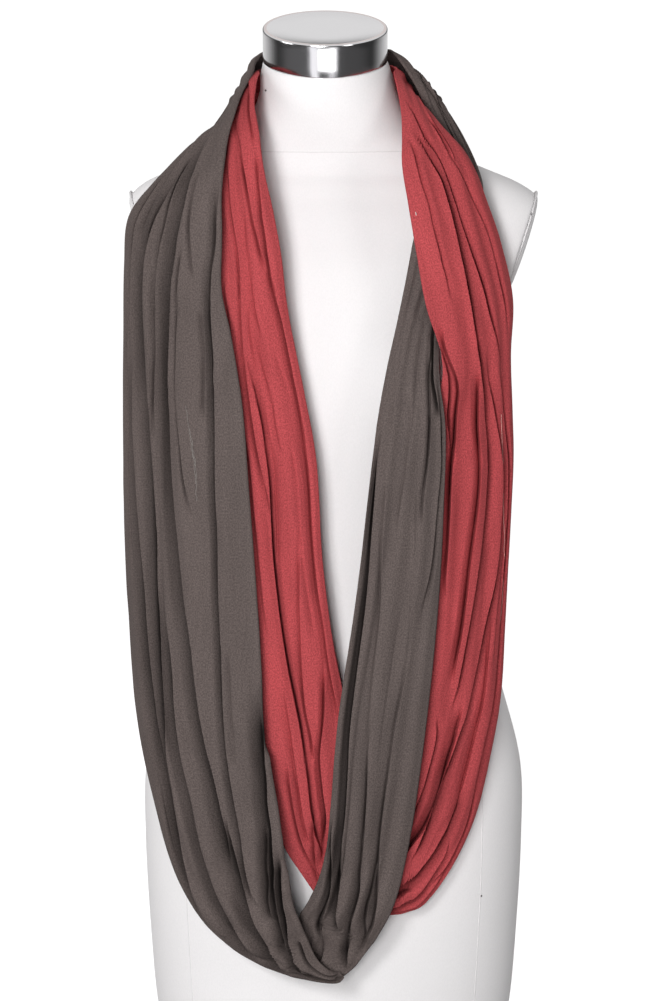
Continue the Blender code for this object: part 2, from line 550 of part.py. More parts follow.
def main():
    """Build every piece in its place."""
    clear_scene()
    place_stand()
    materials = {name: make_material(name, look) for name, look in LOOKS.items()}
    build_form(materials["cover"])
    build_arm_plate("arm_plate_left", -1, materials["cover"])
    build_arm_plate("arm_plate_right", 1, materials["cover"])
    build_neck_cap(materials["chrome"])
    for stretch in STRETCHES:
        build_cloth(stretch, materials[stretch.look])


main()
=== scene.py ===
"""The look of a two-coloured infinity scarf on a dress form.

Two loops of jersey, one dark and one red, hang linked through each other.  Each is one fine sheet
that follows the route of its solids and adds the smaller folds, the curled raw edges and the
knit.  The dress form gets its stretched cover with seams, and the neck its metal cap.

Units are metres, +Z is up, -Y is the front, +X is the wearer's left.  The rows of the long tables
are written in millimetres or hundredths, as the scale beside each kind of row says.
"""
import math
from collections import namedtuple

import bpy
import numpy as np
from mathutils import Matrix, Vector
from mathutils.bvhtree import BVHTree


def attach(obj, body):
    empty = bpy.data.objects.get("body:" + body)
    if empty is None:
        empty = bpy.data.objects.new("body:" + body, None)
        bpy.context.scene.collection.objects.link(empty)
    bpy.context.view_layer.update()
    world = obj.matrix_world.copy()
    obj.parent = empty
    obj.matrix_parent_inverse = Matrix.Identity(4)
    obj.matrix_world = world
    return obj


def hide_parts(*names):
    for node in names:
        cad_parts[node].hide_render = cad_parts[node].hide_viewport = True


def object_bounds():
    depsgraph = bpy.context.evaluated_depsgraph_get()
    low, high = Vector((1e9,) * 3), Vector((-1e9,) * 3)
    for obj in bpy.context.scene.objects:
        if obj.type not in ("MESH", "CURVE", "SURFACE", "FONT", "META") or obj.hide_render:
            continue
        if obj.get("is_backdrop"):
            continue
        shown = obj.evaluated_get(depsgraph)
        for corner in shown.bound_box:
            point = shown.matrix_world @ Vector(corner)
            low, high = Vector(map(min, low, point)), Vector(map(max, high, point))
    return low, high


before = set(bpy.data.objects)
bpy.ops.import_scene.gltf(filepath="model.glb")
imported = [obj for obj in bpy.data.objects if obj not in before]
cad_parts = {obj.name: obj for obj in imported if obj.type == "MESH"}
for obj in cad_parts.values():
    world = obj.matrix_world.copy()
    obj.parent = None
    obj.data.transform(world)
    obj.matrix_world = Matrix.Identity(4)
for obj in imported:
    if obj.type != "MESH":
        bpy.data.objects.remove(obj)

SOLID_BOX = [list(corner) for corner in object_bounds()]
STAND = np.array((0.002, 0.024, 0.0))      # where the dress form stands


def table_of(kind, scale, *rows):
    """The rows as tuples of one kind, each number divided by its column's scale."""
    return tuple(kind(*(round(number / unit, 6) for number, unit in zip(row, scale)))
                 for row in rows)


# ---------------------------------------------------------------- the dress form's sizes

FORM_POINTS = 192                 # round one ring of the form
FORM_ROWS = 300
SQUARENESS = 2.35                 # exponent of the rings' super-ellipse, 2 is an ellipse
ARM_PLANE_X = 0.1465              # the flat armhole face at ARM_PLANE_HEIGHT
ARM_PLANE_HEIGHT = 0.680
ARM_PLANE_LEAN = 0.335            # how far the face moves out for each metre of height
ARM_PLATE_CENTRE = 0.736
ARM_PLATE_HALF_HEIGHT = 0.052
ARM_PLATE_HALF_DEPTH = 0.040
ARM_PLATE_THICKNESS = 0.007
ARM_PLATE_CENTRE_Y = 0.002
ARM_PLATE_POINTS = 96             # round a plate
ARM_PLATE_RINGS = 15              # from its foot to its middle
FORWARD = np.array((0.0, -1.0, 0.0))
BUST_HEIGHT = 0.612
BUST_APART = 0.078
BUST_RISE = 0.015
BUST_RADIUS = 0.052
NECK_X = -0.0075
NECK_Y = -0.002
NECK_TOP = 0.9054
NECK_RADIUS = 0.0552
CAP_RADIUS = 0.0560
CAP_HEIGHT = 0.0305
CAP_RIM = 0.0022                  # radius of its rounded rim
CAP_POINTS = 160
CAP_LEAN = math.radians(14.5)
SEAT_GAP = 0.0003

FormRing = namedtuple("FormRing", "height half_width front back centre_x centre_y lean")
FORM_RING_SCALE = (1000,) * 6 + (1,)      # rows in millimetres, the lean in radians
FORM_RINGS = table_of(
    FormRing, FORM_RING_SCALE,
    (0, 154, 98, 106, 0, 0, 0),
    (30, 165, 106, 113, 0, 0, 0),
    (110, 171.5, 110, 117, 0, 0, 0),
    (190, 175, 111, 119, 0, 0, 0),
    (260, 173.5, 107, 116, 0, 0, 0),
    (330, 156, 102, 104, 0, 0, 0),
    (420, 130, 93, 88, 0, 0, 0),
    (500, 134, 95, 86, 0, 0, 0),
    (560, 144, 98, 89, 0, 0, 0),
    (610, 150, 98, 93, 0, 0, 0),
    (650, 148, 97, 96, 0, 0, 0),
    (678, 145, 93, 97, 0, 0, 0),
    (695, 170, 90, 97, 0, 0, 0),
    (725, 185, 83, 95, 0, 0, 0),
    (750, 193, 73.3, 91, 0, 0, 0),
    (770, 193, 65, 85, 0, 0, 0),
    (784, 184, 59.2, 78, 0, 1, 0),
    (796, 168, 55, 72, -2, 2, 0),
    (806, 145, 52, 68, -3, 4, 0),
    (816, 122, 50, 64, -4, 4, 0),
    (828, 98, 50, 61, -5, 4, 0.02),
    (842, 79, 52, 59, -5.5, 3, 0.06),
    (858, 69, 54, 59, -4.5, 2, 0.12),
    (876, 62.3, 56, 58, -4.5, 1, 0.19),
    (893, 59, 56.5, 57.5, -6.5, 0, 0.235),
) + (FormRing(NECK_TOP, NECK_RADIUS, NECK_RADIUS, NECK_RADIUS, NECK_X, NECK_Y, CAP_LEAN),)

# ---------------------------------------------------------------- the cloth's routes

ROW_SPACING = 0.0030              # between cross sections, along a loop
FRONT_POINTS = 215                # across a cross section, edge to edge
SHARE_STEPS = 1500                # how finely the columns are set out across a row
CURL_POINTS = 8                   # round the turned-back edge on each side
CROWN_POWER = 2.6                 # how square the bulge is across a stretch
NEARBY = 0.05                     # how far ahead and behind the heading is read
CURL_TURNS = ((0.0, 0.0), (0.45, -0.10), (0.88, 0.06), (1.05, 0.50), (0.90, 0.78))

Station = namedtuple(
    "Station",
    "outer_x outer_y outer_z inner_x inner_y inner_z crown outer_turn inner_turn",
)
STATION_SCALE = (1000,) * 9       # rows in millimetres

DARK_NECK_JOIN = table_of(
    Station, STATION_SCALE,
    (104.5, 8, 855, 72, -8, 889, 3, 6, 3),
    (93.5, 26, 862, 56, 14, 911, 3, 6, 3),
    (70, 76, 856, 44, 62, 914, 3, 6, 3),
)
RED_NECK_JOIN = table_of(
    Station, STATION_SCALE,
    (82, -4, 857, 54.5, -22, 895, 2, 4, 2),
    (83, 16, 852, 56, 8, 899, 2, 4, 2),
    (60, 63, 847, 37.5, 52, 901, 2, 4, 2),
)
RED_BOTTOM_JOIN = table_of(
    Station, STATION_SCALE,
    (-10, -125, 160, 30, -127, 197, 3, 5, 3),
    (12, -126, 151, 37.5, -127, 192, 3, 5, 3),
    (36, -126, 147.5, 45, -127, 196, 3, 5, 3),
)

# From the right of the neck round its back to the left, then down the left of the chest.
DARK_LEFT_ROUTE = DARK_NECK_JOIN + table_of(
    Station, STATION_SCALE,
    (-7.5, 95, 854, -7.5, 79, 915, 4, 6, 4),
    (-79, 71, 856, -58, 56, 912, 3, 6, 3),
    (-96, 18, 858, -70.5, 12, 906, 2, 6, 3),
    (-99, -12, 853, -73.5, -30, 895.5, 2, 6, 2),
    (-106, -30, 844, -82, -58, 880, 2, 6, 3),
    (-114, -41, 837, -88.5, -80, 861, 3, 6, 4),
    (-131, -48, 828, -94.5, -96, 838, 6, 6, 5),
    (-161, -52, 799, -99, -114, 799, 8, 6, 6),
    (-183, -56, 769, -99, -126, 754, 10, 7, 6),
    (-187, -58, 727, -99, -134, 713, 12, 9, 6),
    (-188, -60, 665, -91, -140, 673, 13, 12, 6),
    (-189, -55, 600, -81, -144, 611, 15, 15, 6),
    (-189, -60, 515, -74, -147, 520, 16, 15, 6),
    (-186, -64, 420, -67.5, -148, 425, 16, 15, 6),
    (-179, -72, 320, -61.5, -149, 315, 15, 14, 7),
    (-163, -85, 243, -51, -151, 250, 13, 12, 8),
    (-144, -104, 181, -45, -154, 200, 11, 10, 8),
    (-119, -121, 140.5, -40.5, -157, 172, 9, 9, 8),
    (-88, -135, 116, -31.5, -161, 150, 7, 8, 7),
    (-58, -145, 102.5, -24.5, -164, 136, 5, 7, 6),
    (-32, -152, 96.5, -16.5, -165, 119, 4, 6, 5),
    (0, -157, 93.5, -6, -165, 108.5, 3, 5, 4),
    (9.5, -154.5, 97.5, 5, -157, 104, 2, 3, 3),
)

# From the bottom up the wearer's left side, under the red cloth, and over the shoulder.
DARK_RIGHT_ROUTE = table_of(
    Station, STATION_SCALE,
    (-12, -145, 95.5, -26, -140, 122, 2, 5, 4),
    (3.5, -148, 94.5, -27, -140, 130, 3, 5, 4),
    (15.5, -147, 103, -28, -139, 137, 3, 6, 5),
    (29, -150, 122, -31, -139, 149, 4, 7, 6),
    (40, -152, 140, -23, -140, 163, 6, 7, 6),
    (51, -153, 162, -13, -142, 186, 7, 8, 6),
    (60, -153, 192, -6.5, -145, 214, 8, 8, 6),
    (71, -153, 250, -2, -148, 260, 8, 8, 6),
    (82.5, -152, 339, 4.5, -150, 335, 8, 8, 6),
    (92, -150, 440, 20, -150, 441, 8, 8, 6),
    (96.5, -147, 529, 30, -148, 530, 8, 7, 6),
    (97.5, -145, 592, 38, -144, 595, 7, 4, 6),
    (91.2, -135, 644, 47, -137, 645, 5, 2, 5),
    (94, -118, 686, 57, -128, 688, 4, 2, 5),
    (108, -106, 720, 64, -119, 722, 3, 3, 4),
    (121, -92, 753, 71, -107, 757, 3, 3, 4),
    (130, -74, 778, 80, -92, 786, 3, 4, 4),
    (133, -56, 796, 91, -72, 811, 3, 5, 4),
    (128, -34, 815, 95.5, -45, 832, 3, 5, 3),
    (117, -12, 838, 82, -14, 865.5, 3, 6, 3),
) + DARK_NECK_JOIN

# The red loop lies inside the dark one at the neck and runs under it down the chest.
RED_LEFT_ROUTE = RED_NECK_JOIN + table_of(
    Station, STATION_SCALE,
    (-7.5, 84, 846, -7.5, 68, 902, 2, 4, 2),
    (-73, 62, 848, -52.5, 50, 900, 2, 4, 2),
    (-87, 12, 857, -69, 6, 896, 1, 4, 2),
    (-87, -18, 860, -67, -28, 896, 1, 4, 2),
    (-89, -38, 862, -70.5, -46, 887, 2, 4, 2),
    (-97, -55, 848, -71, -66, 870, 3, 4, 4),
    (-104, -72, 826, -66.5, -87, 847, 4, 4, 5),
    (-110, -90, 793, -61.5, -103, 814, 4, 5, 5),
    (-110, -102, 760, -53.5, -114, 780, 5, 5, 6),
    (-108, -110, 725, -46.5, -122, 742, 5, 5, 6),
    (-104, -117, 680, -40, -128, 692, 5, 5, 6),
    (-94, -122, 610, -26, -132, 622, 6, 5, 6),
    (-86, -124, 545, -15, -130, 559, 6, 5, 6),
    (-81, -125, 460, -10, -128, 473, 6, 5, 6),
    (-76, -125, 385, -1.5, -128, 403, 6, 5, 6),
    (-68, -125, 315, 11.5, -128, 333, 5, 5, 5),
    (-57, -125, 260, 15, -129, 283, 4, 5, 5),
    (-46, -125, 215, 19, -128, 240, 3, 5, 5),
    (-30, -125, 187, 24, -127, 208, 3, 5, 5),
) + RED_BOTTOM_JOIN

RED_RIGHT_ROUTE = RED_BOTTOM_JOIN + table_of(
    Station, STATION_SCALE,
    (53.5, -127, 147.5, 50, -127, 205, 4, 6, 4),
    (66, -126, 149.5, 54, -127, 218, 5, 6, 5),
    (83, -122, 157, 58, -127, 236, 6, 7, 5),
    (107, -112, 188, 62, -128, 258, 8, 9, 5),
    (128, -98, 230, 67, -129, 288, 9, 11, 5),
    (143, -86, 289, 73, -130, 325, 10, 12, 5),
    (152, -80, 347, 78, -131, 365, 11, 13, 5),
    (157, -75, 447, 85, -131, 450, 11, 14, 5),
    (161, -71, 540, 89, -130, 540, 11, 14, 5),
    (160.5, -72, 590, 90, -125, 600, 11, 12, 3),
    (158, -75, 647.5, 96, -135, 646, 10, 10, 2),
    (159, -80, 699, 82, -143, 698, 9, 8, 4),
    (148, -82, 749, 74, -138, 742, 8, 6, 6),
    (135, -78, 787, 66.5, -127, 787, 7, 4, 6),
    (126.5, -70, 810, 61.5, -112, 818, 6, 4, 6),
    (114, -62, 831, 61, -94, 838, 5, 4, 5),
    (97, -48, 848, 60.5, -70, 862, 4, 3, 3),
    (85, -24, 860, 57, -43, 884, 3, 4, 2),
) + RED_NECK_JOIN

# ---------------------------------------------------------------- the cloth's broad folds

# Where each broad fold ends, as a share of the way from the outer to the inner edge at the
# route's marks, then the height of the fold beyond it as a share of its width and how far the
# line between the folds sinks in at the route's start, middle and end.
Broad = namedtuple(
    "Broad",
    "start first second third fourth end fullness sink_start sink_middle sink_end",
)
BROAD_SCALE = (100,) * 7 + (1000,) * 3    # rows in hundredths, the sinks in millimetres
DARK_LEFT_MARKS = (1, 8, 12, 15, 18, 25)
DARK_LEFT_BROAD = table_of(
    Broad, BROAD_SCALE,
    (0, 0, 0, 0, 0, 0, 10, 0, 0, 0),
    (20, 22, 27, 28, 21, 20, 22, 0, 1, 0),
    (36, 38, 40, 38, 33, 36, 22, 0, 1, 0),
    (52, 52, 55, 46, 52, 52, 14, 0, 2, 0),
    (76, 76, 90, 76, 68, 72, 12, 0, 0, 0),
    (100, 100, 100, 100, 100, 100, 0, 0, 0, 0),
)
DARK_RIGHT_MARKS = (0, 5, 8, 10, 13, 21)
DARK_RIGHT_BROAD = table_of(
    Broad, BROAD_SCALE,
    (0, 0, 0, 0, 0, 0, 14, 0, 0, 0),
    (20, 22, 22, 14, 16, 20, 16, 0, 2, 0),
    (40, 46, 44, 38, 38, 36, 16, 0, 1, 0),
    (62, 70, 76, 66, 58, 52, 24, 8, 1, 0),
    (84, 82, 88, 90, 84, 76, 24, 4, 0, 0),
    (100, 100, 100, 100, 100, 100, 0, 0, 0, 0),
)
RED_LEFT_MARKS = (1, 8, 12, 15, 19, 23)
RED_LEFT_BROAD = table_of(
    Broad, BROAD_SCALE,
    (0, 0, 0, 0, 0, 0, 12, 0, 0, 0),
    (22, 30, 28, 30, 40, 20, 16, 0, 1, 0),
    (46, 52, 52, 46, 60, 44, 16, 0, 2, 0),
    (72, 76, 84, 90, 82, 70, 22, 0, 0, 0),
    (100, 100, 100, 100, 100, 100, 0, 0, 0, 0),
)
RED_RIGHT_MARKS = (1, 5, 8, 11, 14, 22)
RED_RIGHT_BROAD = table_of(
    Broad, BROAD_SCALE,
    (0, 0, 0, 0, 0, 0, 14, 0, 0, 0),
    (20, 14, 12, 14, 24, 22, 18, 0, 1, 0),
    (44, 40, 38, 40, 46, 46, 16, 0, 2, 0),
    (70, 68, 70, 76, 68, 72, 14, 0, 0, 0),
    (100, 100, 100, 100, 100, 100, 0, 0, 0, 0),
)

# ---------------------------------------------------------------- the cloth's creases

# A crease runs from one place of its route to another.  Its seven shares lie evenly along that
# run and say how far across the cloth it is, from the outer edge at 0 to the inner edge at 1.
# Width and the depths at its start, middle and end are in millimetres.  The lip is the ridge
# beside it, as a share of the depth, on the inner side, or on the outer side where it is negative.
Crease = namedtuple(
    "Crease",
    "begin finish one two three four five six seven width start middle end lip",
)
CREASE_SCALE = (1, 1) + (100,) * 7 + (1,) * 5     # rows with the seven shares in hundredths
DARK_LEFT_CREASES = table_of(
    Crease, CREASE_SCALE,
    # round the back of the neck
    (0.6, 5.8, 18, 21, 22, 20, 17, 16, 20, 5, 1.5, 2.5, 1.5, 0.3),
    (0.5, 4.4, 44, 42, 40, 42, 45, 48, 46, 4.5, 2.5, 3, 2, -0.3),
    (1.6, 7.6, 66, 62, 60, 62, 60, 58, 62, 5, 2, 3, 2, 0.3),
    (2.4, 6.6, 86, 84, 82, 83, 85, 84, 80, 4, 1, 2, 1, 0.3),
    (3.8, 8.2, 34, 32, 30, 33, 36, 34, 30, 5, 1, 2, 2, -0.3),
    # the fan on the shoulder
    (9.2, 14.6, 49, 49, 49, 45, 40, 38, 36, 7.5, 8, 5, 5, 0.3),
    (11.2, 15.2, 71, 70, 66, 61, 57, 61, 65, 5, 5, 6, 4, 0.3),
    (9.6, 12, 74, 75, 75, 76, 78, 80, 82, 4, 2.5, 3, 2.5, 0.2),
    (12.4, 14.2, 84, 83, 83, 82, 80, 78, 76, 4, 2.5, 3, 2.5, 0.2),
    (7.6, 11.6, 34, 33, 31, 30, 28, 25, 22, 9, 8, 6.5, 4, 0.3),
    (9.6, 13.4, 18, 17, 16, 15, 14, 13, 12, 7, 4, 4.5, 4, 0.2),
    # the long ones down the side
    (9, 20.8, 47, 36, 29, 35, 32, 18, 3, 17, 6, 15, 17, 0.3),
    (15.6, 21.8, 37, 43, 42, 40, 37, 27, 13, 15, 16, 17, 12, 0.3),
    (8.4, 19.4, 66, 68, 61, 50, 56, 64, 60, 17, 15, 15, 23.5, 0.3),
    (9.4, 20.2, 98, 97, 89, 82, 78, 74, 71, 9, 7, 10, 11, 0.3),
    (12.2, 13.9, 93, 92, 90, 89, 88, 86, 85, 2.5, 4, 5, 3, 0.3),
    (16.2, 17.4, 84, 84, 84, 84, 84, 83, 82, 5, 1.5, 2.5, 1.5, 0),
    (13, 19.8, 14, 16, 19, 22, 22, 17, 10, 15, 4, 11, 9.5, 0.2),
    (12, 15.8, 10, 9, 8, 9, 10, 11, 11, 8, 2, 4, 3.5, 0.2),
    # towards the lowest point
    (18, 22.8, 65, 67, 66, 60, 50, 30, 8, 17, 16, 17, 13, 0.3),
    (18.2, 20.6, 93, 92, 90, 88, 85, 82, 78, 10, 7, 10, 8, 0.3),
    (16.4, 22.4, 101, 98, 95, 93, 87, 72, 50, 11.5, 17, 12.5, 6.5, 0.3),
    (18.6, 23.4, 99, 98, 95, 88, 74, 52, 27, 11.5, 13, 18, 11, 0.3),
    (17.6, 20.6, 12, 12, 11, 10, 9, 7, 5, 7, 5, 6, 5, 0.3),
    (21.4, 24.6, 62, 60, 58, 55, 52, 50, 48, 5, 6.5, 9.5, 6.5, 0.3),
    (21.6, 24.8, 93, 90, 86, 82, 80, 78, 76, 4, 5, 8, 5.5, 0.3),
    (22.4, 24.8, 40, 34, 30, 27, 25, 24, 24, 3.5, 4, 6.5, 5, -0.3),
)
DARK_RIGHT_CREASES = table_of(
    Crease, CREASE_SCALE,
    # the roll along the inner edge and the pocket below it
    (3, 11.2, 42, 62, 76, 82, 86, 91, 96, 9.5, 20, 21.5, 7.5, -0.3),
    (2.4, 6.8, 66, 70, 74, 78, 85, 94, 99, 7, 11.5, 14, 9, -0.3),
    (1.6, 8.2, 4, 20, 34, 42, 51, 58, 66, 10.5, 12, 10, 5, -0.3),
    (3.2, 6.4, 4, 11, 20, 27, 29, 30, 31, 8, 6.5, 7, 4, -0.3),
    (2.4, 8.8, 3, 7, 13, 24, 35, 36, 28, 10.5, 6.5, 8.5, 3.5, -0.3),
    (0.8, 3.4, 46, 50, 54, 58, 62, 66, 70, 5, 6.5, 8.5, 6.5, -0.3),
    # the faint ones down the front panel
    (7.4, 10.4, 67, 68, 69, 72, 76, 80, 82, 6, 1, 3, 2.5, -0.3),
    (7.4, 9, 48, 48, 48, 47, 46, 46, 46, 6, 0.5, 1, 0.5, 0),
    (9.6, 11.6, 62, 60, 57, 56, 55, 54, 55, 6, 1.5, 2, 1.5, -0.2),
    (10.6, 12.8, 52, 49, 46, 43, 40, 37, 36, 5, 1, 1.5, 1, -0.2),
    (8.4, 10.2, 30, 31, 33, 34, 34, 35, 36, 8, 1, 1, 1, 0),
    # the pleats where the red cloth presses on it
    (9.6, 12.3, 30, 28, 25, 22, 20, 17, 15, 4.5, 3, 7, 4.5, -0.3),
    (11.1, 13.1, 9, 9, 10, 9, 9, 11, 15, 3.5, 6.5, 9, 6.5, -0.3),
    (8.8, 11.9, 18, 11, 8, 6, 6, 4, 1, 4, 2.5, 6, 3, 0.3),
    # over the shoulder
    (13.6, 20.4, 30, 32, 35, 38, 43, 48, 52, 5, 3, 4, 3, 0.3),
    (14.6, 21.4, 66, 63, 61, 60, 63, 67, 70, 5, 2.4, 3.4, 2.6, -0.3),
    (16.2, 21.4, 14, 16, 17, 18, 20, 20, 18, 4.5, 2, 3, 2, 0.3),
    (15.4, 18.4, 84, 83, 82, 80, 79, 78, 78, 4, 1.6, 2.4, 1.6, 0.3),
)
RED_LEFT_CREASES = table_of(
    Crease, CREASE_SCALE,
    # round the back of the neck
    (0.4, 4.8, 24, 21, 20, 23, 27, 26, 22, 4.5, 2.5, 4, 2.5, 0.3),
    (1.2, 6.2, 52, 55, 55, 51, 50, 53, 50, 4.5, 2.5, 4, 3, -0.3),
    (0.8, 4, 80, 78, 77, 76, 78, 81, 82, 3.5, 1.6, 2.4, 1.8, 0.3),
    (5.4, 9.6, 72, 80, 86, 90, 91, 91, 93, 4, 4, 5, 2.5, 0.3),
    # from the neck down
    (8.6, 15.9, 26, 38, 40, 42, 33, 31, 43, 5, 3.5, 3.5, 5.5, 0.3),
    (10.8, 13.3, 60, 57, 55, 56, 56, 57, 59, 4, 1, 1, 4, 0.3),
    (12.7, 13.8, 55, 52, 49, 48, 48, 47, 46, 6, 1, 1.5, 1, -0.3),
    (9.4, 12.8, 95, 92, 89, 86, 84, 85, 87, 4.5, 3, 7, 5, 0.3),
    (7.6, 12.4, 42, 50, 63, 71, 71, 73, 78, 4.5, 4, 5, 4.5, 0.3),
    (12, 18.4, 80, 90, 91, 89, 91, 91, 90, 5.5, 6.5, 5, 5, 0.3),
    (12.2, 13.6, 17, 18, 19, 20, 19, 17, 14, 3.5, 1, 2, 3, 0.3),
    (12.6, 14.1, 63, 66, 69, 73, 76, 80, 85, 6, 1, 1, 1, 0.2),
    (13.3, 14.9, 51, 53, 56, 58, 57, 58, 60, 5, 1, 2.5, 1, 0.3),
    (14.5, 16, 50, 49, 49, 48, 48, 47, 46, 3.5, 1, 2.5, 2.5, -0.3),
    (15.6, 18.8, 74, 69, 64, 60, 57, 58, 55, 6, 2, 5, 4, 0.3),
    (13.4, 17, 14, 15, 17, 18, 20, 22, 24, 7, 2, 2, 2, 0.2),
    (14.6, 17, 72, 73, 74, 76, 78, 80, 81, 8, 1.5, 2, 1.5, 0),
    # the deep slots above the crossing
    (13.2, 21, 38, 42, 40, 44, 49, 46, 46, 6, 5.5, 12.5, 10, -0.3),
    (19.6, 21.8, 47, 43, 39, 33, 25, 18, 12, 4.5, 5, 5.5, 4.5, 0.3),
    (17.2, 21.2, 87, 77, 66, 64, 63, 48, 34, 6, 7.5, 12.5, 7.5, 0.3),
    (18.4, 22.2, 26, 25, 25, 24, 23, 22, 22, 5, 4, 5.5, 4, 0.3),
    (17.4, 20.4, 34, 35, 35, 34, 34, 33, 32, 6, 2.5, 4, 2.5, 0.3),
)
RED_RIGHT_CREASES = table_of(
    Crease, CREASE_SCALE,
    # the lowest turn
    (2.4, 6.4, 6, 5, 5, 5, 6, 7, 8, 6, 7, 11.5, 7, 0.3),
    (1.8, 6.4, 16, 16, 17, 18, 19, 21, 22, 8, 8.5, 14, 8.5, 0.3),
    (2.4, 7.4, 46, 45, 43, 40, 37, 34, 32, 11, 12, 20, 12, 0.3),
    (3.4, 8.8, 70, 68, 66, 63, 61, 60, 58, 11, 10, 14, 8.5, -0.3),
    (4.4, 8.4, 88, 85, 84, 82, 81, 80, 82, 10, 7, 10, 6, 0.3),
    (1.4, 4.6, 34, 33, 32, 31, 30, 30, 29, 7, 7, 12, 8.5, -0.3),
    # the main line, from the collar to the waist
    (13, 18.4, 61, 60, 59, 60, 62, 71, 84, 12.5, 10, 14.5, 5, 0.3),
    (8.4, 13.8, 66, 62, 52, 45, 48, 60, 60, 10.5, 7, 12, 11, 0.3),
    (4.6, 13.2, 55, 60, 58, 47, 24, 31, 48, 11, 11.5, 9.5, 7, 0.3),
    # beside it
    (11.2, 13.4, 88, 89, 91, 92, 95, 98, 100, 5, 5, 7, 3.5, 0.3),
    (9.7, 13.8, 89, 87, 86, 82, 84, 94, 95, 6, 6.5, 11.5, 5, -0.3),
    (8.9, 13, 73, 66, 63, 57, 57, 61, 66, 7, 8.5, 12, 6, -0.3),
    (13.2, 19.2, 12, 18, 18, 25, 36, 40, 42, 5.5, 3.5, 3.5, 6.5, 0.3),
    (12.6, 19.6, 24, 38, 44, 49, 56, 72, 88, 5.5, 7, 6.5, 6.5, 0.3),
    (5.2, 13.2, 10, 11, 19, 14, 10, 17, 34, 6, 10, 8.5, 7, 0.3),
    (9.2, 10.6, 22, 21, 20, 17, 15, 12, 10, 5, 2, 3, 2, 0.3),
    (6.2, 9.8, 34, 35, 34, 33, 31, 30, 30, 6, 4, 6, 3.5, -0.3),
    (14, 18.2, 80, 81, 82, 84, 86, 89, 92, 6, 3, 4, 3.5, 0.3),
    (17, 21, 30, 31, 33, 34, 36, 35, 34, 4.5, 3.5, 5, 3.5, 0.3),
)

# ---------------------------------------------------------------- sizes of the small details

THREAD_SIDES = 6
SEAM_LIFT = 0.0005                # from the cloth to the middle of the seam's ridge
SEAM_RADIUS = 0.0007
SEAM_POINTS = 70                  # along its ridge
SEAM_STITCHES = 22
STITCH_PLACES = (0.07, 0.12, 0.17)    # along one stitch, beyond the seam's place
STITCH_RADIUS = 0.00025
# Each lint fibre's start and end along the dark loop, and its shift across it as a share.
LINT = (
    (33.95, 34.30, 0.000),
    (34.15, 34.55, 0.004),
    (34.30, 34.75, 0.000),
    (34.35, 34.70, -0.004),
    (34.50, 34.90, 0.002),
)
LINT_LINE = ((33.9, 34.15, 34.40, 34.65, 34.85), (0.669, 0.672, 0.688, 0.700, 0.690))
LINT_RADIUS, LINT_LIFT = 0.00022, 0.0003
THREAD_RADIUS, THREAD_LIFT = 0.0003, 0.0006
RAW_EDGE_RADIUS, RAW_EDGE_LIFT = 0.00024, 0.0002
# Places along the red loop and shares across it.
LOOSE_THREAD = ((37.70, 0.965), (37.73, 0.967), (37.76, 0.966), (37.79, 0.969))
RAW_EDGE = ((34.1, 0.26), (33.6, 0.25), (32.7, 0.18), (31.95, 0.09), (31.4, 0.13))
NECK_SEAM_HEIGHT = 0.827
LONG_SEAMS = (317.5, 222.5, 42.0, 90.0, 138.0)     # degrees round the form
LONG_SEAM_FOOT = 0.003
LONG_SEAM_TOP = 0.66
FORM_SEAM_RADIUS = 0.0004
PIPING_GAP = 0.0025               # between a plate's edge and the piping round it
PIPING_LIFT = 0.0012              # from the armhole face to the piping's middle
PIPING_RADIUS = 0.0010
PIPING_POINTS = 120
# Height and degrees round the form of each pin.
PINS = ((0.151, 317.5), (0.886, 208.0))
PIN_POINTS = 12                   # round a pin's head
# Out from the cover and half width, along a pin's head.
PIN_PROFILE = (
    (-0.0010, 0.0003),
    (0.0004, 0.0004),
    (0.0005, 0.0007),
    (0.0009, 0.0009),
    (0.0013, 0.0008),
    (0.0016, 0.0004),
    (0.0017, 0.0001),
)

# ---------------------------------------------------------------- how the cloth takes its form

# The cloth's soft unevenness: each wave's height, its length along the cloth and its width.
Wave = namedtuple("Wave", "height length width")
WAVES = (
    Wave(0.0016, 0.095, 0.017),
    Wave(0.0008, 0.050, 0.009),
    Wave(0.0003, 0.020, 0.0055),
)
FADE = 0.14                       # share of a crease's run over which it begins and ends
SOFTER = 0.7                      # the broad folds' height here, as a share of the solids'
RISER = 0.0010                    # how thin the wall between a deep crease and its lip is
SOFT_RISER = 0.0020               # how much thicker it is at a shallow crease
SHARP_FROM = 0.006                # the depth from which a crease is sharp
SLOT_WIDTH = 0.0024
SLOT_POWER = 1.5
SLOT_SHARE = 0.35                 # how much of a sharp crease's depth is its slot
FULL_PAINTED_SHADE_DEPTH = 0.0125               # the depth from which a crease's painted shade is darkest
SHADE_REACH = 1.25                # how far that painted shade spreads, as a share of the crease's width
SHADE_POWER = 1.3                 # how late the painted shade begins
CREASE_POWER = 1.25               # how late the cloth turns down towards a crease
LEAN_OVER = 0.08                  # how far a lip leans over its crease, as a share of the depth
LEAN_REACH = 0.8                  # how far the lean dies away, as a share of the crease's width
LIP_REACH = 1.4                   # the same for the lip
WANDER = 0.008                    # how far a crease strays from its line, as a share of the cloth
WANDERS_PER_STATION = 1.9
UNEVEN = 0.3                      # how much deeper or shallower it gets on its way
UNEVEN_PER_STATION = 1.3
UNEVEN_SEED = 90                  # added to a crease's number
DARK_SEED = 11                    # of the dark loop's soft waves
RED_SEED = 31
CROWDING = 4.0                    # how much closer together the columns lie at a crease
CROWDED_WITHIN = 0.0032
BARE_COLUMNS = 40                 # across the cloth that another piece's creases may meet
INNER_CURL = 0.5                  # the inner edge's curl, as a share of the solids'
TURN_TO_FRONT = 0.8               # how far the creases down the front face straight ahead
CLOTH_CLEAR = 0.004               # left free between a crease and what lies behind it
CLOTH_START = 0.002               # how far behind the cloth the search for that begins
FAR_BEHIND = 0.05                 # how far it goes
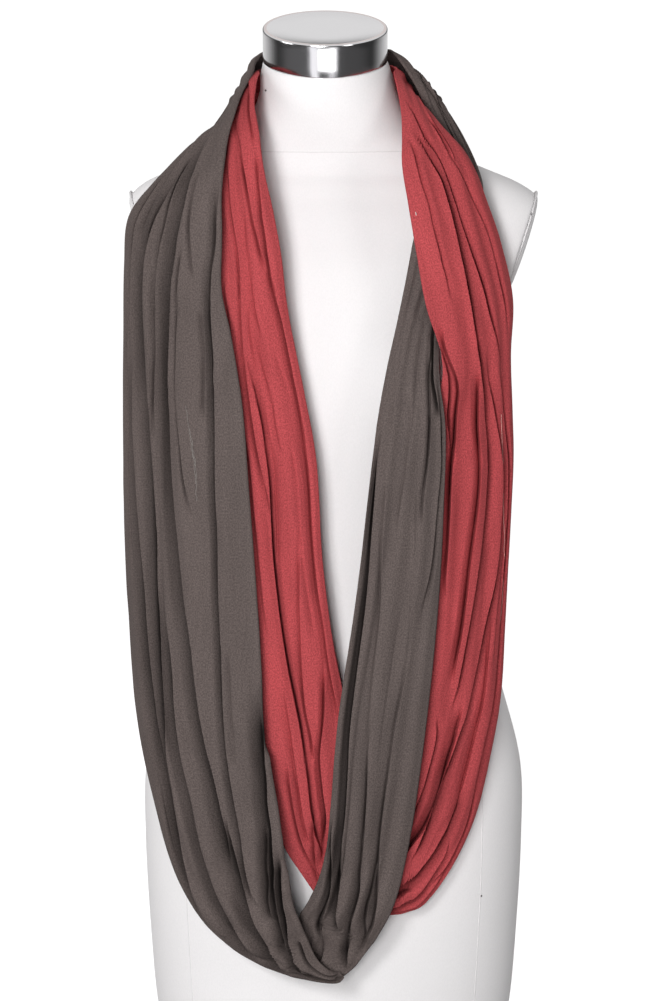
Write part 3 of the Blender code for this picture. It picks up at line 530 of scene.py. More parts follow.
LEAST_ROOM = 0.0003               # how far a crease may always sink
FULL_WAVES_WIDTH = 0.10           # the soft waves are lower where the cloth is narrower
WAVES_FADE = 0.04                 # and this close to a loop's ends
FACES_FRONT = 0.5                 # how far a row's outward direction points ahead on the front
ROUTE_STEPS = 2000                # how finely a loop's length is measured

# ---------------------------------------------------------------- how the loops are put together

Part = namedtuple("Part", "shift marks broad creases")
Cloth = namedtuple("Cloth", "places across points")
# A loop is one band of cloth, made as a piece between each two of its cuts.
Loop = namedtuple("Loop", "stations parts cuts pieces")
DARK_SEAM_PLACE = 20.25           # where the dark loop's ends are sewn together
RED_SEAM_PLACE = 1.9              # the same for the red loop, behind the neck
RED_RIDGE_SHIFT = 0.35            # from there to its ridge, along the loop
RIGHT_STATIONS_BEFORE_JOIN = len(DARK_RIGHT_ROUTE) - len(DARK_NECK_JOIN)
LEFT_STATIONS_BEFORE_JOIN = len(RED_LEFT_ROUTE) - len(RED_BOTTOM_JOIN)
DARK_LOOP = Loop(
    DARK_RIGHT_ROUTE[:RIGHT_STATIONS_BEFORE_JOIN] + DARK_LEFT_ROUTE,
    (
        Part(0, DARK_RIGHT_MARKS, DARK_RIGHT_BROAD, DARK_RIGHT_CREASES),
        Part(RIGHT_STATIONS_BEFORE_JOIN, DARK_LEFT_MARKS, DARK_LEFT_BROAD, DARK_LEFT_CREASES),
    ),
    (0.0, DARK_SEAM_PLACE, RIGHT_STATIONS_BEFORE_JOIN + 25.0),
    ("dark_strand_right", "dark_strand_left"),
)
RED_LOOP = Loop(
    RED_LEFT_ROUTE[:LEFT_STATIONS_BEFORE_JOIN] + RED_RIGHT_ROUTE + RED_LEFT_ROUTE[3:5],
    (
        Part(0, RED_LEFT_MARKS, RED_LEFT_BROAD, RED_LEFT_CREASES),
        Part(LEFT_STATIONS_BEFORE_JOIN, RED_RIGHT_MARKS, RED_RIGHT_BROAD, RED_RIGHT_CREASES),
    ),
    (RED_SEAM_PLACE, LEFT_STATIONS_BEFORE_JOIN + 1.0,
     LEFT_STATIONS_BEFORE_JOIN + 21.0 + RED_SEAM_PLACE),
    ("red_strand_left", "red_strand_right"),
)
JOIN_BLEND = 1.2                  # over how many stations one part's broad folds pass to the next


# ---------------------------------------------------------------- helpers

def smooth_between(rows, place):
    """Read a table of number rows at a fractional place, along a smooth curve."""
    table = np.asarray(rows, dtype=float)
    last = len(table) - 1
    index = min(int(place), last - 1)
    share = place - index
    before = table[max(index - 1, 0)]
    start = table[index]
    end = table[index + 1]
    after = table[min(index + 2, last)]
    leave = (end - before) / 2
    arrive = (after - start) / 2
    square, cube = share ** 2, share ** 3
    return ((2 * cube - 3 * square + 1) * start + (cube - 2 * square + share) * leave
            + (3 * square - 2 * cube) * end + (cube - square) * arrive)


def unit(vector):
    """The same direction, one metre long."""
    return vector / max(np.linalg.norm(vector), 1e-9)


def ease(value):
    """From 0 to 1 with a soft start and a soft end."""
    held = np.clip(value, 0.0, 1.0)
    return held * held * (3 - 2 * held)


def soft_noise(seed, along, across):
    """Smooth random heights from -1 to 1, one unit apart, at each pair of numbers."""
    grid = np.random.default_rng(seed).uniform(-1, 1, (256, 64))
    row, column = np.floor(along).astype(int), np.floor(across).astype(int)
    down, right = ease(along - row), ease(across - column)
    corner = lambda r, c: grid[(row + r) % 256, (column + c) % 64]
    return ((corner(0, 0) * (1 - right) + corner(0, 1) * right) * (1 - down)
            + (corner(1, 0) * (1 - right) + corner(1, 1) * right) * down)


def normals_of(points):
    """The normal at each point of a grid of points."""
    along = np.gradient(points, axis=0)
    across = np.gradient(points, axis=1)
    normal = np.cross(along, across)
    return normal / np.maximum(np.linalg.norm(normal, axis=2, keepdims=True), 1e-12)


def grid_faces(rows, columns, wrap_rows=False, wrap_columns=False):
    """Quads over a grid of points."""
    faces = []
    for row in range(rows if wrap_rows else rows - 1):
        below = (row + 1) % rows
        for column in range(columns if wrap_columns else columns - 1):
            right = (column + 1) % columns
            faces.append((row * columns + column, row * columns + right,
                          below * columns + right, below * columns + column))
    return faces


def closed_rings(rings, count):
    """The faces over a stack of rings, shut at both ends."""
    faces = grid_faces(rings, count, wrap_columns=True)
    faces.append(tuple(range(count)))
    faces.append(tuple(range((rings - 1) * count, rings * count)))
    return faces


def moved_on(faces, first):
    """The same faces over points that begin at a later number."""
    return [tuple(first + corner for corner in face) for face in faces]


def add_piece(name, points, faces, material, flat=None, painted_fold_shade=None):
    """A smooth mesh that rides with the part.

    flat gives each point its place on the cloth, and the last argument how much painted shade
    darkens its colour near a crease.
    """
    mesh = bpy.data.meshes.new(name)
    mesh.from_pydata(np.asarray(points).reshape(-1, 3).tolist(), [], faces)
    mesh.materials.append(material)
    mesh.shade_smooth()
    if flat is not None:
        layer = mesh.uv_layers.new(name="cloth")
        corners = np.empty(len(mesh.loops), dtype=np.int32)
        mesh.loops.foreach_get("vertex_index", corners)
        layer.data.foreach_set("uv", np.asarray(flat).reshape(-1, 2)[corners].ravel())
    # A point attribute of painted shade that darkens the cloth's colour in its creases.
    if painted_fold_shade is not None:
        painted_shade_layer = mesh.attributes.new(name="painted_fold_shade", type="FLOAT", domain="POINT")
        painted_shade_layer.data.foreach_set("value", np.asarray(painted_fold_shade, dtype=np.float32).ravel())
    piece = bpy.data.objects.new(name, mesh)
    bpy.context.scene.collection.objects.link(piece)
    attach(piece, "root")
    return piece


# ---------------------------------------------------------------- materials

# The last number is the painted crease shade: what is left of the colour at the bottom of a deep
# crease.
DARK_JERSEY = ("dark_jersey", (0.138, 0.1095, 0.1020), 0.12)
RED_JERSEY = ("red_jersey", (0.54, 0.083, 0.091), 0.26)
COVER_COLOUR = (0.85, 0.83, 0.835)
SEAM_COLOUR = (0.74, 0.72, 0.725)
BAND_COLOUR = (0.62, 0.61, 0.62)
TOP_COLOUR = (0.62, 0.555, 0.545)
PIN_COLOUR = (0.10, 0.09, 0.09)
LINT_COLOUR = (0.25, 0.225, 0.21)
THREAD_COLOUR = (0.82, 0.72, 0.70)
RAW_EDGE_COLOUR = (0.72, 0.36, 0.33)


def new_material(name, colour, roughness, metallic=0.0):
    """A Principled material, with its node tree and shader."""
    material = bpy.data.materials.new(name)
    material.use_nodes = True
    tree = material.node_tree
    shader = tree.nodes["Principled BSDF"]
    shader.inputs["Base Color"].default_value = (*colour, 1.0)
    shader.inputs["Roughness"].default_value = roughness
    shader.inputs["Metallic"].default_value = metallic
    return material, tree, shader


def new_node(tree, kind, inputs, **settings):
    """A shader node.  Each of its inputs is another node's output or a plain value."""
    node = tree.nodes.new("ShaderNode" + kind)
    for name, value in settings.items():
        setattr(node, name, value)
    for name, value in inputs.items():
        if isinstance(value, bpy.types.NodeSocket):
            tree.links.new(value, node.inputs[name])
        else:
            node.inputs[name].default_value = value
    return node


def texture_place(tree, kind):
    """Where a texture is laid: Object, UV for the flat cloth, or Generated for directions."""
    return tree.nodes.new("ShaderNodeTexCoord").outputs[kind]


def stretched_noise(tree, source, scales, detail=2.0):
    """Noise whose grain is 1 over the given scales, in metres, along each axis."""
    mapping = new_node(tree, "Mapping", {"Vector": source, "Scale": scales})
    noise = new_node(tree, "TexNoise", {"Vector": mapping.outputs["Vector"], "Scale": 1.0,
                                        "Detail": detail})
    return noise.outputs["Fac"]


def blend_colours(tree, fac, low, high, first, second):
    """Pass from one colour to another as fac runs from low to high."""
    ramp = new_node(tree, "ValToRGB", {"Fac": fac})
    for stop, position, colour in zip(ramp.color_ramp.elements, (low, high), (first, second)):
        stop.position = position
        stop.color = (*colour, 1.0)
    return ramp.outputs["Color"]


def toned(colour, amount):
    """The same colour, darker or lighter."""
    return tuple(min(amount * part, 1.0) for part in colour)


def combine_colours(tree, first, second, how="MULTIPLY"):
    """Two colours multiplied, or added up where how is ADD."""
    mix = new_node(tree, "Mix", {"Factor": 1.0, "A": first, "B": second},
                   data_type="RGBA", blend_type=how)
    return mix.outputs["Result"]


def add_bump(tree, shader, heights):
    """Chain bumps, each a (height socket, distance in metres) pair, into the shader."""
    normal = None
    for height, distance in heights:
        bump = new_node(tree, "Bump", {"Strength": 1.0, "Distance": distance, "Height": height})
        if normal is not None:
            tree.links.new(normal, bump.inputs["Normal"])
        normal = bump.outputs["Normal"]
    tree.links.new(normal, shader.inputs["Normal"])


def make_jersey(name, colour, deepest_painted_shade):
    """Matte knitted jersey: speckled yarn, long slubs, soft patches, and painted shade in its
    creases.

    The last argument is the painted crease shade: what is left of the colour at the bottom of a
    deep crease.
    """
    material, tree, shader = new_material(name, colour, 0.88)
    shader.inputs["Sheen Weight"].default_value = 0.05
    shader.inputs["Sheen Roughness"].default_value = 0.5
    shader.inputs["Sheen Tint"].default_value = (*(2.2 * c for c in colour), 1.0)
    shader.inputs["Specular IOR Level"].default_value = 0.12
    place = texture_place(tree, "UV")
    speckle = stretched_noise(tree, place, (980.0, 640.0, 1.0), 1.0)
    slub = stretched_noise(tree, place, (420.0, 24.0, 1.0), 2.0)
    patch = stretched_noise(tree, place, (16.0, 9.0, 1.0), 2.0)
    base = blend_colours(tree, patch, 0.3, 0.7, toned(colour, 0.93), toned(colour, 1.07))
    yarn = blend_colours(tree, speckle, 0.34, 0.66, (0.60, 0.60, 0.60), (1.0, 1.0, 1.0))
    streak = blend_colours(tree, slub, 0.3, 0.7, (0.90, 0.90, 0.90), (1.0, 1.0, 1.0))
    # Painted shade: the cloth's colour darkened towards the bottom of each crease, as the mesh
    # attribute gives it.
    painted_fold_shade = new_node(tree, "Attribute", {}, attribute_name="painted_fold_shade")
    fold = blend_colours(tree, painted_fold_shade.outputs["Fac"], 0.05, 1.0, (1.0, 1.0, 1.0),
                         (deepest_painted_shade, deepest_painted_shade, deepest_painted_shade))
    knitted = combine_colours(tree, combine_colours(tree, base, yarn), fold)
    tree.links.new(combine_colours(tree, knitted, streak), shader.inputs["Base Color"])
    add_bump(tree, shader, ((slub, 0.00030), (speckle, 0.00045)))
    return material


def make_cover(name, colour):
    """The form's stretched off-white jersey, with a fine even knit."""
    material, tree, shader = new_material(name, colour, 0.7)
    shader.inputs["Sheen Weight"].default_value = 0.1
    shader.inputs["Specular IOR Level"].default_value = 0.25
    place = texture_place(tree, "Object")
    knit = stretched_noise(tree, place, (900.0, 900.0, 500.0), 1.0)
    patch = stretched_noise(tree, place, (7.0, 7.0, 5.0), 2.0)
    base = blend_colours(tree, patch, 0.3, 0.7, toned(colour, 0.985), colour)
    yarn = blend_colours(tree, knit, 0.3, 0.7, (0.965, 0.965, 0.965), (1.0, 1.0, 1.0))
    tree.links.new(combine_colours(tree, base, yarn), shader.inputs["Base Color"])
    add_bump(tree, shader, ((knit, 0.00008),))
    return material


def make_chrome(name, colour, roughness, streaks):
    """Polished metal with faint brush marks that run along the cap's axis."""
    material, tree, shader = new_material(name, colour, roughness, 1.0)
    place = texture_place(tree, "Object")
    brushed = stretched_noise(tree, place, (streaks, streaks, 12.0), 2.0)
    spread = new_node(tree, "MapRange", {"Value": brushed, "To Min": roughness - 0.05,
                                         "To Max": roughness + 0.07})
    tree.links.new(spread.outputs["Result"], shader.inputs["Roughness"])
    add_bump(tree, shader, ((brushed, 0.00002),))
    return material


def make_plain(name, colour, roughness):
    """A material for something too small to show a texture."""
    material, tree, shader = new_material(name, colour, roughness)
    place = texture_place(tree, "Object")
    grain = stretched_noise(tree, place, (800.0, 800.0, 800.0), 1.0)
    shade = blend_colours(tree, grain, 0.3, 0.7, toned(colour, 0.85), colour)
    tree.links.new(shade, shader.inputs["Base Color"])
    return material


# ---------------------------------------------------------------- the dress form

def form_point(place, angle):
    """A point of the form's cover at a fractional ring and an angle round it."""
    ring = FormRing(*smooth_between(FORM_RINGS, place))
    cosine, sine = math.cos(angle), math.sin(angle)
    depth = ring.back if sine > 0 else ring.front
    across = math.copysign(abs(cosine) ** (2 / SQUARENESS), cosine) * ring.half_width
    along = math.copysign(abs(sine) ** (2 / SQUARENESS), sine) * depth
    across += ring.centre_x
    if ring.height >= ARM_PLANE_HEIGHT:
        limit = ARM_PLANE_X + ARM_PLANE_LEAN * (ring.height - ARM_PLANE_HEIGHT)
        across = max(-limit, min(limit, across))
    if sine < 0:
        side = (abs(across) - BUST_APART) / BUST_RADIUS
        rise = (ring.height - BUST_HEIGHT) / BUST_RADIUS
        along -= BUST_RISE * math.exp(-side ** 2 - rise ** 2) * abs(sine)
    return STAND + np.array((across, ring.centre_y + along * math.cos(ring.lean),
                             ring.height + along * math.sin(ring.lean)))


def form_place(height):
    """The fractional ring at a height on the form."""
    return np.interp(height, [ring.height for ring in FORM_RINGS], np.arange(len(FORM_RINGS)))


def build_form(material):
    """The torso's cover as one fine closed surface."""
    places = np.linspace(0, len(FORM_RINGS) - 1, FORM_ROWS)
    angles = 2 * math.pi * (np.arange(FORM_POINTS) + 0.5) / FORM_POINTS
    points = np.array([[form_point(place, angle) for angle in angles] for place in places])
    body = add_piece("form_cover", points, closed_rings(FORM_ROWS, FORM_POINTS), material)
    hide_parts("form_body")
    return points


def turned_rings(profile, count, centre, axis, first, second):
    """Rings round an axis.  Each row of the profile is (along the axis, radius 1, radius 2)."""
    points = []
    for along, radius, other in profile:
        for step in range(count):
            angle = 2 * math.pi * step / count
            points.append(centre + axis * along + first * (radius * math.cos(angle))
                          + second * (other * math.sin(angle)))
    return points


def arm_plate_frame(side):
    """The middle of an armhole face, and its outward and upward directions."""
    lean = math.atan(ARM_PLANE_LEAN)
    outward = np.array((side * math.cos(lean), 0.0, -math.sin(lean)))
    upward = np.array((side * math.sin(lean), 0.0, math.cos(lean)))
    reach = ARM_PLANE_X + ARM_PLANE_LEAN * (ARM_PLATE_CENTRE - ARM_PLANE_HEIGHT)
    centre = STAND + np.array((side * reach, ARM_PLATE_CENTRE_Y, ARM_PLATE_CENTRE))
    return centre, outward, upward


def build_arm_plates(material):
    """The oval covered plates on the two armhole faces."""
    profile = []
    for share in np.linspace(0, 1, ARM_PLATE_RINGS):
        out = SEAT_GAP + ARM_PLATE_THICKNESS * math.sin(share * math.pi / 2) ** 0.8
        size = 1.0 - 0.96 * (1 - math.cos(share * math.pi / 2)) ** 1.3
        profile.append((out, size * ARM_PLATE_HALF_DEPTH, size * ARM_PLATE_HALF_HEIGHT))
    for name, side in (("left", -1), ("right", 1)):
        centre, outward, upward = arm_plate_frame(side)
        points = turned_rings(profile, ARM_PLATE_POINTS, centre, outward, FORWARD, upward)
        faces = closed_rings(ARM_PLATE_RINGS, ARM_PLATE_POINTS)
        plate = add_piece(f"plate_{name}", points, faces, material)
        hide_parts(f"arm_plate_{name}")


def build_cap(band_material, top_material):
    """The neck cap: a bright band with a rounded rim and a slightly dished satin top."""
    outline = [(0.0, CAP_RADIUS - 0.0005), (0.0003, CAP_RADIUS - 0.0001), (0.0008, CAP_RADIUS)]
    outline += [(CAP_HEIGHT * share, CAP_RADIUS) for share in (0.25, 0.5, 0.75)]
    for turn in np.linspace(0, math.pi / 2, 6):
        outline.append((CAP_HEIGHT - CAP_RIM + CAP_RIM * math.sin(turn),
                        CAP_RADIUS - CAP_RIM + CAP_RIM * math.cos(turn)))
    outline += [(CAP_HEIGHT - 0.0004, CAP_RADIUS - 0.0035), (CAP_HEIGHT - 0.0007, CAP_RADIUS / 2)]
    profile = [(height, radius, radius) for height, radius in outline]
    right, back, up = np.eye(3)
    points = turned_rings(profile, CAP_POINTS, np.zeros(3), up, right, back)
    cap = add_piece("cap", points, closed_rings(len(profile), CAP_POINTS), band_material)
    cap.data.materials.append(top_material)
    for face in cap.data.polygons:
        if face.center.z > CAP_HEIGHT - 0.0004 and face.normal.z > 0.8:
            face.material_index = 1
    upward = Vector((0.0, -math.sin(CAP_LEAN), math.cos(CAP_LEAN)))
    foot = Vector(STAND) + Vector((NECK_X, NECK_Y, NECK_TOP)) + upward * SEAT_GAP
    cap.matrix_world = Matrix.Translation(foot) @ Matrix.Rotation(CAP_LEAN, 4, "X")
    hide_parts("neck_cap")


# ---------------------------------------------------------------- the cloth

def broad_rise(part, place, shares):
    """How far the broad folds of one part stand out, at shares across the cloth."""
    marks = part.marks
    mark = 0
    while mark < len(marks) - 2 and place > marks[mark + 1]:
        mark += 1
    share = (place - marks[mark]) / (marks[mark + 1] - marks[mark])
    lines = smooth_between(list(zip(*part.broad))[:len(marks)], mark + share)
    along = min(max((mark + share) / (len(marks) - 1), 0.0), 1.0)
    sinks = [np.interp(along, (0.0, 0.5, 1.0), fold[-3:]) for fold in part.broad]
    fullness = [fold.fullness for fold in part.broad]
    rise, sunk = np.zeros(len(shares)), np.zeros(len(shares))
    for index in range(len(lines) - 1):
        fold = max(lines[index + 1] - lines[index], 1e-6)
        within = (shares - lines[index]) / fold
        inside = (within >= 0) & (within <= 1)
        within = within[inside]
        rise[inside] = SOFTER * fullness[index] * fold * np.sin(math.pi * within) ** 2
        sunk[inside] = sinks[index] + (sinks[index + 1] - sinks[index]) * ease(within)
    return rise, sunk


def part_at(loop, place):
    """The loop's two parts and how much of the second one shows at this place."""
    join = loop.parts[1].shift + 1.0
    return ease((place - join) / JOIN_BLEND + 0.5)


def middle(stations, place):
    """The middle of the cloth at this place along the route."""
    within = min(max(place, 0.0), len(stations) - 1)
    station = smooth_between(stations, within)
    return (station[0:3] + station[3:6]) / 2


def cross_section(loop, place, shares):
    """The cloth across one place of its loop: curled edge, front, curled edge."""
    stations = loop.stations
    station = Station(*smooth_between(stations, min(place, len(stations) - 1)))
    outer = np.array(station[0:3])
    inner = np.array(station[3:6])
    chord = inner - outer
    width = np.linalg.norm(chord)
    inward = unit(chord)
    heading = middle(stations, place + NEARBY) - middle(stations, place - NEARBY)
    outward = unit(np.cross(heading, chord))

    second = part_at(loop, place)
    crest, sink = np.zeros(len(shares)), np.zeros(len(shares))
    for part, amount in zip(loop.parts, (1 - second, second)):
        if amount > 0:
            rise, sunk = broad_rise(part, place - part.shift, shares)
            crest += amount * rise
            sink += amount * sunk
    bulge = 1 - np.abs(2 * shares - 1) ** CROWN_POWER
    rise = station.crown * bulge + width * crest - sink
    front = outer + shares[:, None] * chord + rise[:, None] * outward

    steps = np.linspace(0, len(CURL_TURNS) - 1, CURL_POINTS + 1)[1:]
    turns = [smooth_between(CURL_TURNS, step) for step in steps]
    outer_curl = [outer - outward * (back * station.outer_turn)
                  + inward * (turn * station.outer_turn) for back, turn in turns]
    small = INNER_CURL * station.inner_turn
    inner_curl = [inner - outward * (back * small) - inward * (turn * small)
                  for back, turn in turns]
    return np.concatenate((outer_curl[::-1], front, inner_curl)), outward, width


def even_places(loop):
    """Places along the loop that are evenly spaced in metres, and their distances along it."""
    fine = np.linspace(loop.cuts[0], loop.cuts[-1], ROUTE_STEPS)
    line = np.array([middle(loop.stations, place) for place in fine])
    length = np.concatenate(([0.0], np.cumsum(np.linalg.norm(np.diff(line, axis=0), axis=1))))
    count = int(length[-1] / ROW_SPACING) + 1
    along = np.linspace(0, length[-1], count)
    return np.interp(along, length, fine), along


def crease_lines(loop, places):
    """Each crease with its rows, and its share across and its strength on each of them."""
    lines = []
    for part in loop.parts:
        for crease in part.creases:
            number = len(lines)
            run = (places - part.shift - crease.begin) / (crease.finish - crease.begin)
            rows = np.nonzero((run > 0) & (run < 1))[0]
            shares = np.array([smooth_between([[share] for share in crease[2:9]], 6 * step)[0]
                               for step in run[rows]])
            still = np.zeros(len(rows))
            shares += WANDER * soft_noise(number, places[rows] * WANDERS_PER_STATION, still)
            strength = ease(run[rows] / FADE) * ease((1 - run[rows]) / FADE)
            uneven = soft_noise(number + UNEVEN_SEED, places[rows] * UNEVEN_PER_STATION, still)
            strength *= 1 + UNEVEN * uneven
            depths = (crease.start, crease.middle, crease.end)
            strength *= np.interp(run[rows], (0.0, 0.5, 1.0), depths) / max(depths)
            lines.append((crease, rows, shares, strength))
    return lines


def columns_near_creases(lines, widths):
    """For each row, shares from 0 to 1 that lie closer together beside its creases."""
    fine = np.linspace(0, 1, SHARE_STEPS)
    density = np.ones((len(widths), SHARE_STEPS))
    for _, rows, shares, strength in lines:
        away = (fine[None, :] - shares[:, None]) * widths[rows][:, None]
        density[rows] += CROWDING * strength[:, None] * np.exp(-(away / CROWDED_WITHIN) ** 2)
    start = np.zeros((len(widths), 1))
    summed = np.concatenate((start, np.cumsum(density[:, 1:], axis=1)), axis=1)
    even = np.linspace(0, 1, FRONT_POINTS)
    return np.array([np.interp(even, row / row[-1], fine) for row in summed])


def press_creases(lines, shares, widths):
    """How far each point moves in and sideways for the creases, and how much painted shade its
    colour gets there.

    On one side the cloth curves down to the crease, and into a narrow slot if it is deep.  On
    the other a thin wall rises to a lip, which leans over the crease and dies away.
    """
    inward = np.zeros(shares.shape)
    sideways = np.zeros(shares.shape)
    painted_fold_shade = np.zeros(shares.shape)
    for crease, rows, line, strength in lines:
        side = math.copysign(1.0, crease.lip)
        away = side * (shares[rows] - line[:, None]) * widths[rows][:, None]
        wide = crease.width / 1000
        deep = max(crease.start, crease.middle, crease.end) / 1000 * strength[:, None]
        sharp = ease(deep / SHARP_FROM)
        riser = RISER + SOFT_RISER * (1 - sharp)
        slope = np.clip(1 + away / wide, 0, 1) ** CREASE_POWER
        slot = np.clip(1 + away / SLOT_WIDTH, 0, 1) ** SLOT_POWER
        sunk = slope + SLOT_SHARE * sharp * (slot - slope)
        wall = ease(away / riser)
        die = np.exp(-np.maximum(away - riser, 0) / (LIP_REACH * wide))
        lift = np.where(away < 0, -sunk, -1 + wall * (1 + abs(crease.lip) * die))
        settled = np.where(away < riser, lift, abs(crease.lip) * die)
        inward[rows] -= deep * settled
        bend = np.exp(-np.maximum(away - riser, 0) / (LEAN_REACH * wide))
        lean = np.where(away > 0, wall * bend, 0)
        sideways[rows] -= side * LEAN_OVER * deep * lean
        # Painted shade: darkest at a deep crease, spreading back over the slope and up to the
        # wall.
        spread = np.clip(1 + away / (SHADE_REACH * wide), 0, 1) ** SHADE_POWER
        shade = np.clip(deep / FULL_PAINTED_SHADE_DEPTH, 0, 1) * np.where(away < 0, spread, 1 - wall)
        painted_fold_shade[rows] = np.maximum(painted_fold_shade[rows], shade)
    return inward, sideways, painted_fold_shade


def surface_tree(grids):
    """A search tree over several grids of points."""
    corners, faces = [], []
    for grid in grids:
        rows, columns = grid.shape[:2]
        first = len(corners)
        corners.extend(grid.reshape(-1, 3).tolist())
        faces += moved_on(grid_faces(rows, columns), first)
    return BVHTree.FromPolygons(corners, faces)


def room_behind(points, facing, around):
    """How far each point of the cloth may sink before it meets what lies behind it."""
    room = np.full(points.shape[:2], FAR_BEHIND)
    for row in range(points.shape[0]):
        for column in range(points.shape[1]):
            inward = Vector(-facing[row, column])
            start = Vector(points[row, column]) + inward * CLOTH_START
            hit = around.ray_cast(start, inward, FAR_BEHIND)
            if hit[0] is not None:
                room[row, column] = max(hit[3] + CLOTH_START - CLOTH_CLEAR, LEAST_ROOM)
    return room


def bare_grid(loop):
    """The loop's points before its creases, for what lies behind other cloth."""
    places = even_places(loop)[0]
    shares = np.linspace(0, 1, BARE_COLUMNS)
    return np.array([cross_section(loop, place, shares)[0] for place in places]) + STAND


def press_directions(normal, outward):
    """Which way out each point's creases are measured.

    Down the front that is the point's own normal turned towards the front, so that the creases of
    cloth that wraps round a side open towards the front as well.
    """
    front = TURN_TO_FRONT * ease(-outward[:, 1] / FACES_FRONT)[:, None, None]
    turned = normal * (1 - front) + front * FORWARD
    return turned / np.linalg.norm(turned, axis=2, keepdims=True)


def loop_grid(loop, seed, around):
    """A loop's places along it, then by row the points' shares, places, flat places and painted
    crease shade.
    """
    places, along = even_places(loop)
    plain = np.linspace(0, 1, 9)
    widths = np.array([cross_section(loop, place, plain)[2] for place in places])
    lines = crease_lines(loop, places)
    shares = columns_near_creases(lines, widths)
    sections = [cross_section(loop, place, row) for place, row in zip(places, shares)]
    points = np.array([section[0] for section in sections])
    outward = np.array([section[1] for section in sections])
    normal = normals_of(points)
    middle_normal = normal[:, points.shape[1] // 2]
    normal *= np.sign(np.sum(middle_normal * outward, axis=1))[:, None, None]
    toward_inner = np.gradient(points, axis=1)
    toward_inner /= np.maximum(np.linalg.norm(toward_inner, axis=2, keepdims=True), 1e-12)

    rows = len(places)
    inner_edge = np.ones((rows, CURL_POINTS))
    across = np.concatenate((0 * inner_edge, shares, inner_edge), axis=1)
    inward, sideways, painted_fold_shade = press_creases(lines, across, widths)
    metres_across = across * widths[:, None]
    metres_along = np.broadcast_to(along[:, None], across.shape)
    waves = sum(wave.height * soft_noise(seed + number, metres_along / wave.length,
                                         metres_across / wave.width)
                for number, wave in enumerate(WAVES))
    from_end = np.minimum(along, along[-1] - along)
    slack = np.minimum(widths / FULL_WAVES_WIDTH, 1.0) * ease(from_end / WAVES_FADE)
    sink = inward - waves * slack[:, None]
    facing = press_directions(normal, outward)
    room = room_behind(points + STAND, facing, around)
    rise = -np.where(sink > 0, room * np.tanh(sink / room), sink)
    points = points + STAND + facing * rise[:, :, None] + toward_inner * sideways[:, :, None]

    steps = np.linalg.norm(np.diff(points, axis=1), axis=2)
    cloth_across = np.concatenate((np.zeros((rows, 1)), np.cumsum(steps, axis=1)), axis=1)
    cloth_across -= cloth_across[:, -1:] / 2
    return places, across, points, np.stack((cloth_across, metres_along), axis=2), painted_fold_shade


def build_loop(loop, material, seed, replaced, around):
    """One loop of cloth, as a fine sheet between each two of its cuts."""
    # The last is the painted shade for the cloth's creases.
    places, across, points, flat, painted_fold_shade = loop_grid(loop, seed, around)
    for number, name in enumerate(loop.pieces):
        first = int(np.argmin(abs(places - loop.cuts[number])))
        last = int(np.argmin(abs(places - loop.cuts[number + 1])))
        rows = slice(first, last + 1)
        faces = grid_faces(last + 1 - first, points.shape[1])
        piece = add_piece(name, points[rows], faces, material, flat[rows], painted_fold_shade[rows])
        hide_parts(*replaced[number])
    return Cloth(places, across, points)


# ---------------------------------------------------------------- seams, threads and pins

def on_cloth(cloth, place, share, lift):
    """A point that lies a little off the cloth, at a place along it and a share across it."""
    row = int(np.argmin(abs(cloth.places - place)))
    front = slice(CURL_POINTS, -CURL_POINTS)
    column = np.interp(share, cloth.across[row, front], np.arange(FRONT_POINTS)) + CURL_POINTS
    column = int(min(max(round(column), 1), cloth.points.shape[1] - 2))
    row = min(max(row, 1), len(cloth.places) - 2)
    along = cloth.points[row + 1, column] - cloth.points[row - 1, column]
    across = cloth.points[row, column + 1] - cloth.points[row, column - 1]
    outward = unit(np.cross(along, across))
    return cloth.points[row, column] + outward * lift


def line_on_cloth(cloth, track, count, lift):
    """Points along a track of (place, share) pairs on the cloth."""
    steps = np.linspace(0, len(track) - 1, count)
    return [on_cloth(cloth, *smooth_between(track, step), lift) for step in steps]


def add_threads(name, lines, radius, material, closed=False):
    """Fine round threads along lines of points, as one piece."""
    points, faces = [], []
    for line in lines:
        first = len(points)
        line = np.asarray(line)
        count = len(line)
        for number, middle_point in enumerate(line):
            if closed:
                ahead = unit(line[(number + 1) % count] - line[number - 1])
            else:
                ahead = unit(line[min(number + 1, count - 1)] - line[max(number - 1, 0)])
            upright = (0.0, 0.0, 1.0) if abs(ahead[2]) < 0.8 else (0.0, 1.0, 0.0)
            aside = unit(np.cross(ahead, upright))
            over = np.cross(aside, ahead)
            ring = (0.0, radius, radius)
            points += turned_rings([ring], THREAD_SIDES, middle_point, ahead, aside, over)
        rounds = grid_faces(count, THREAD_SIDES, wrap_rows=closed, wrap_columns=True)
        faces += moved_on(rounds, first)
    threads = add_piece(name, points, faces, material)


def build_cross_seam(name, cloth, place, material):
    """The ridge where a loop's ends are sewn together, with its row of small stitches."""
    shares = np.linspace(0.02, 0.98, SEAM_POINTS)
    ridge = [on_cloth(cloth, place, share, SEAM_LIFT) for share in shares]
    add_threads(f"{name}_ridge", [ridge], SEAM_RADIUS, material)
    stitches = []
    for share in np.linspace(0.05, 0.95, SEAM_STITCHES):
        places = [place + shift for shift in STITCH_PLACES]
        stitches.append([on_cloth(cloth, stitch, share, SEAM_LIFT) for stitch in places])
    add_threads(f"{name}_stitches", stitches, STITCH_RADIUS, material)


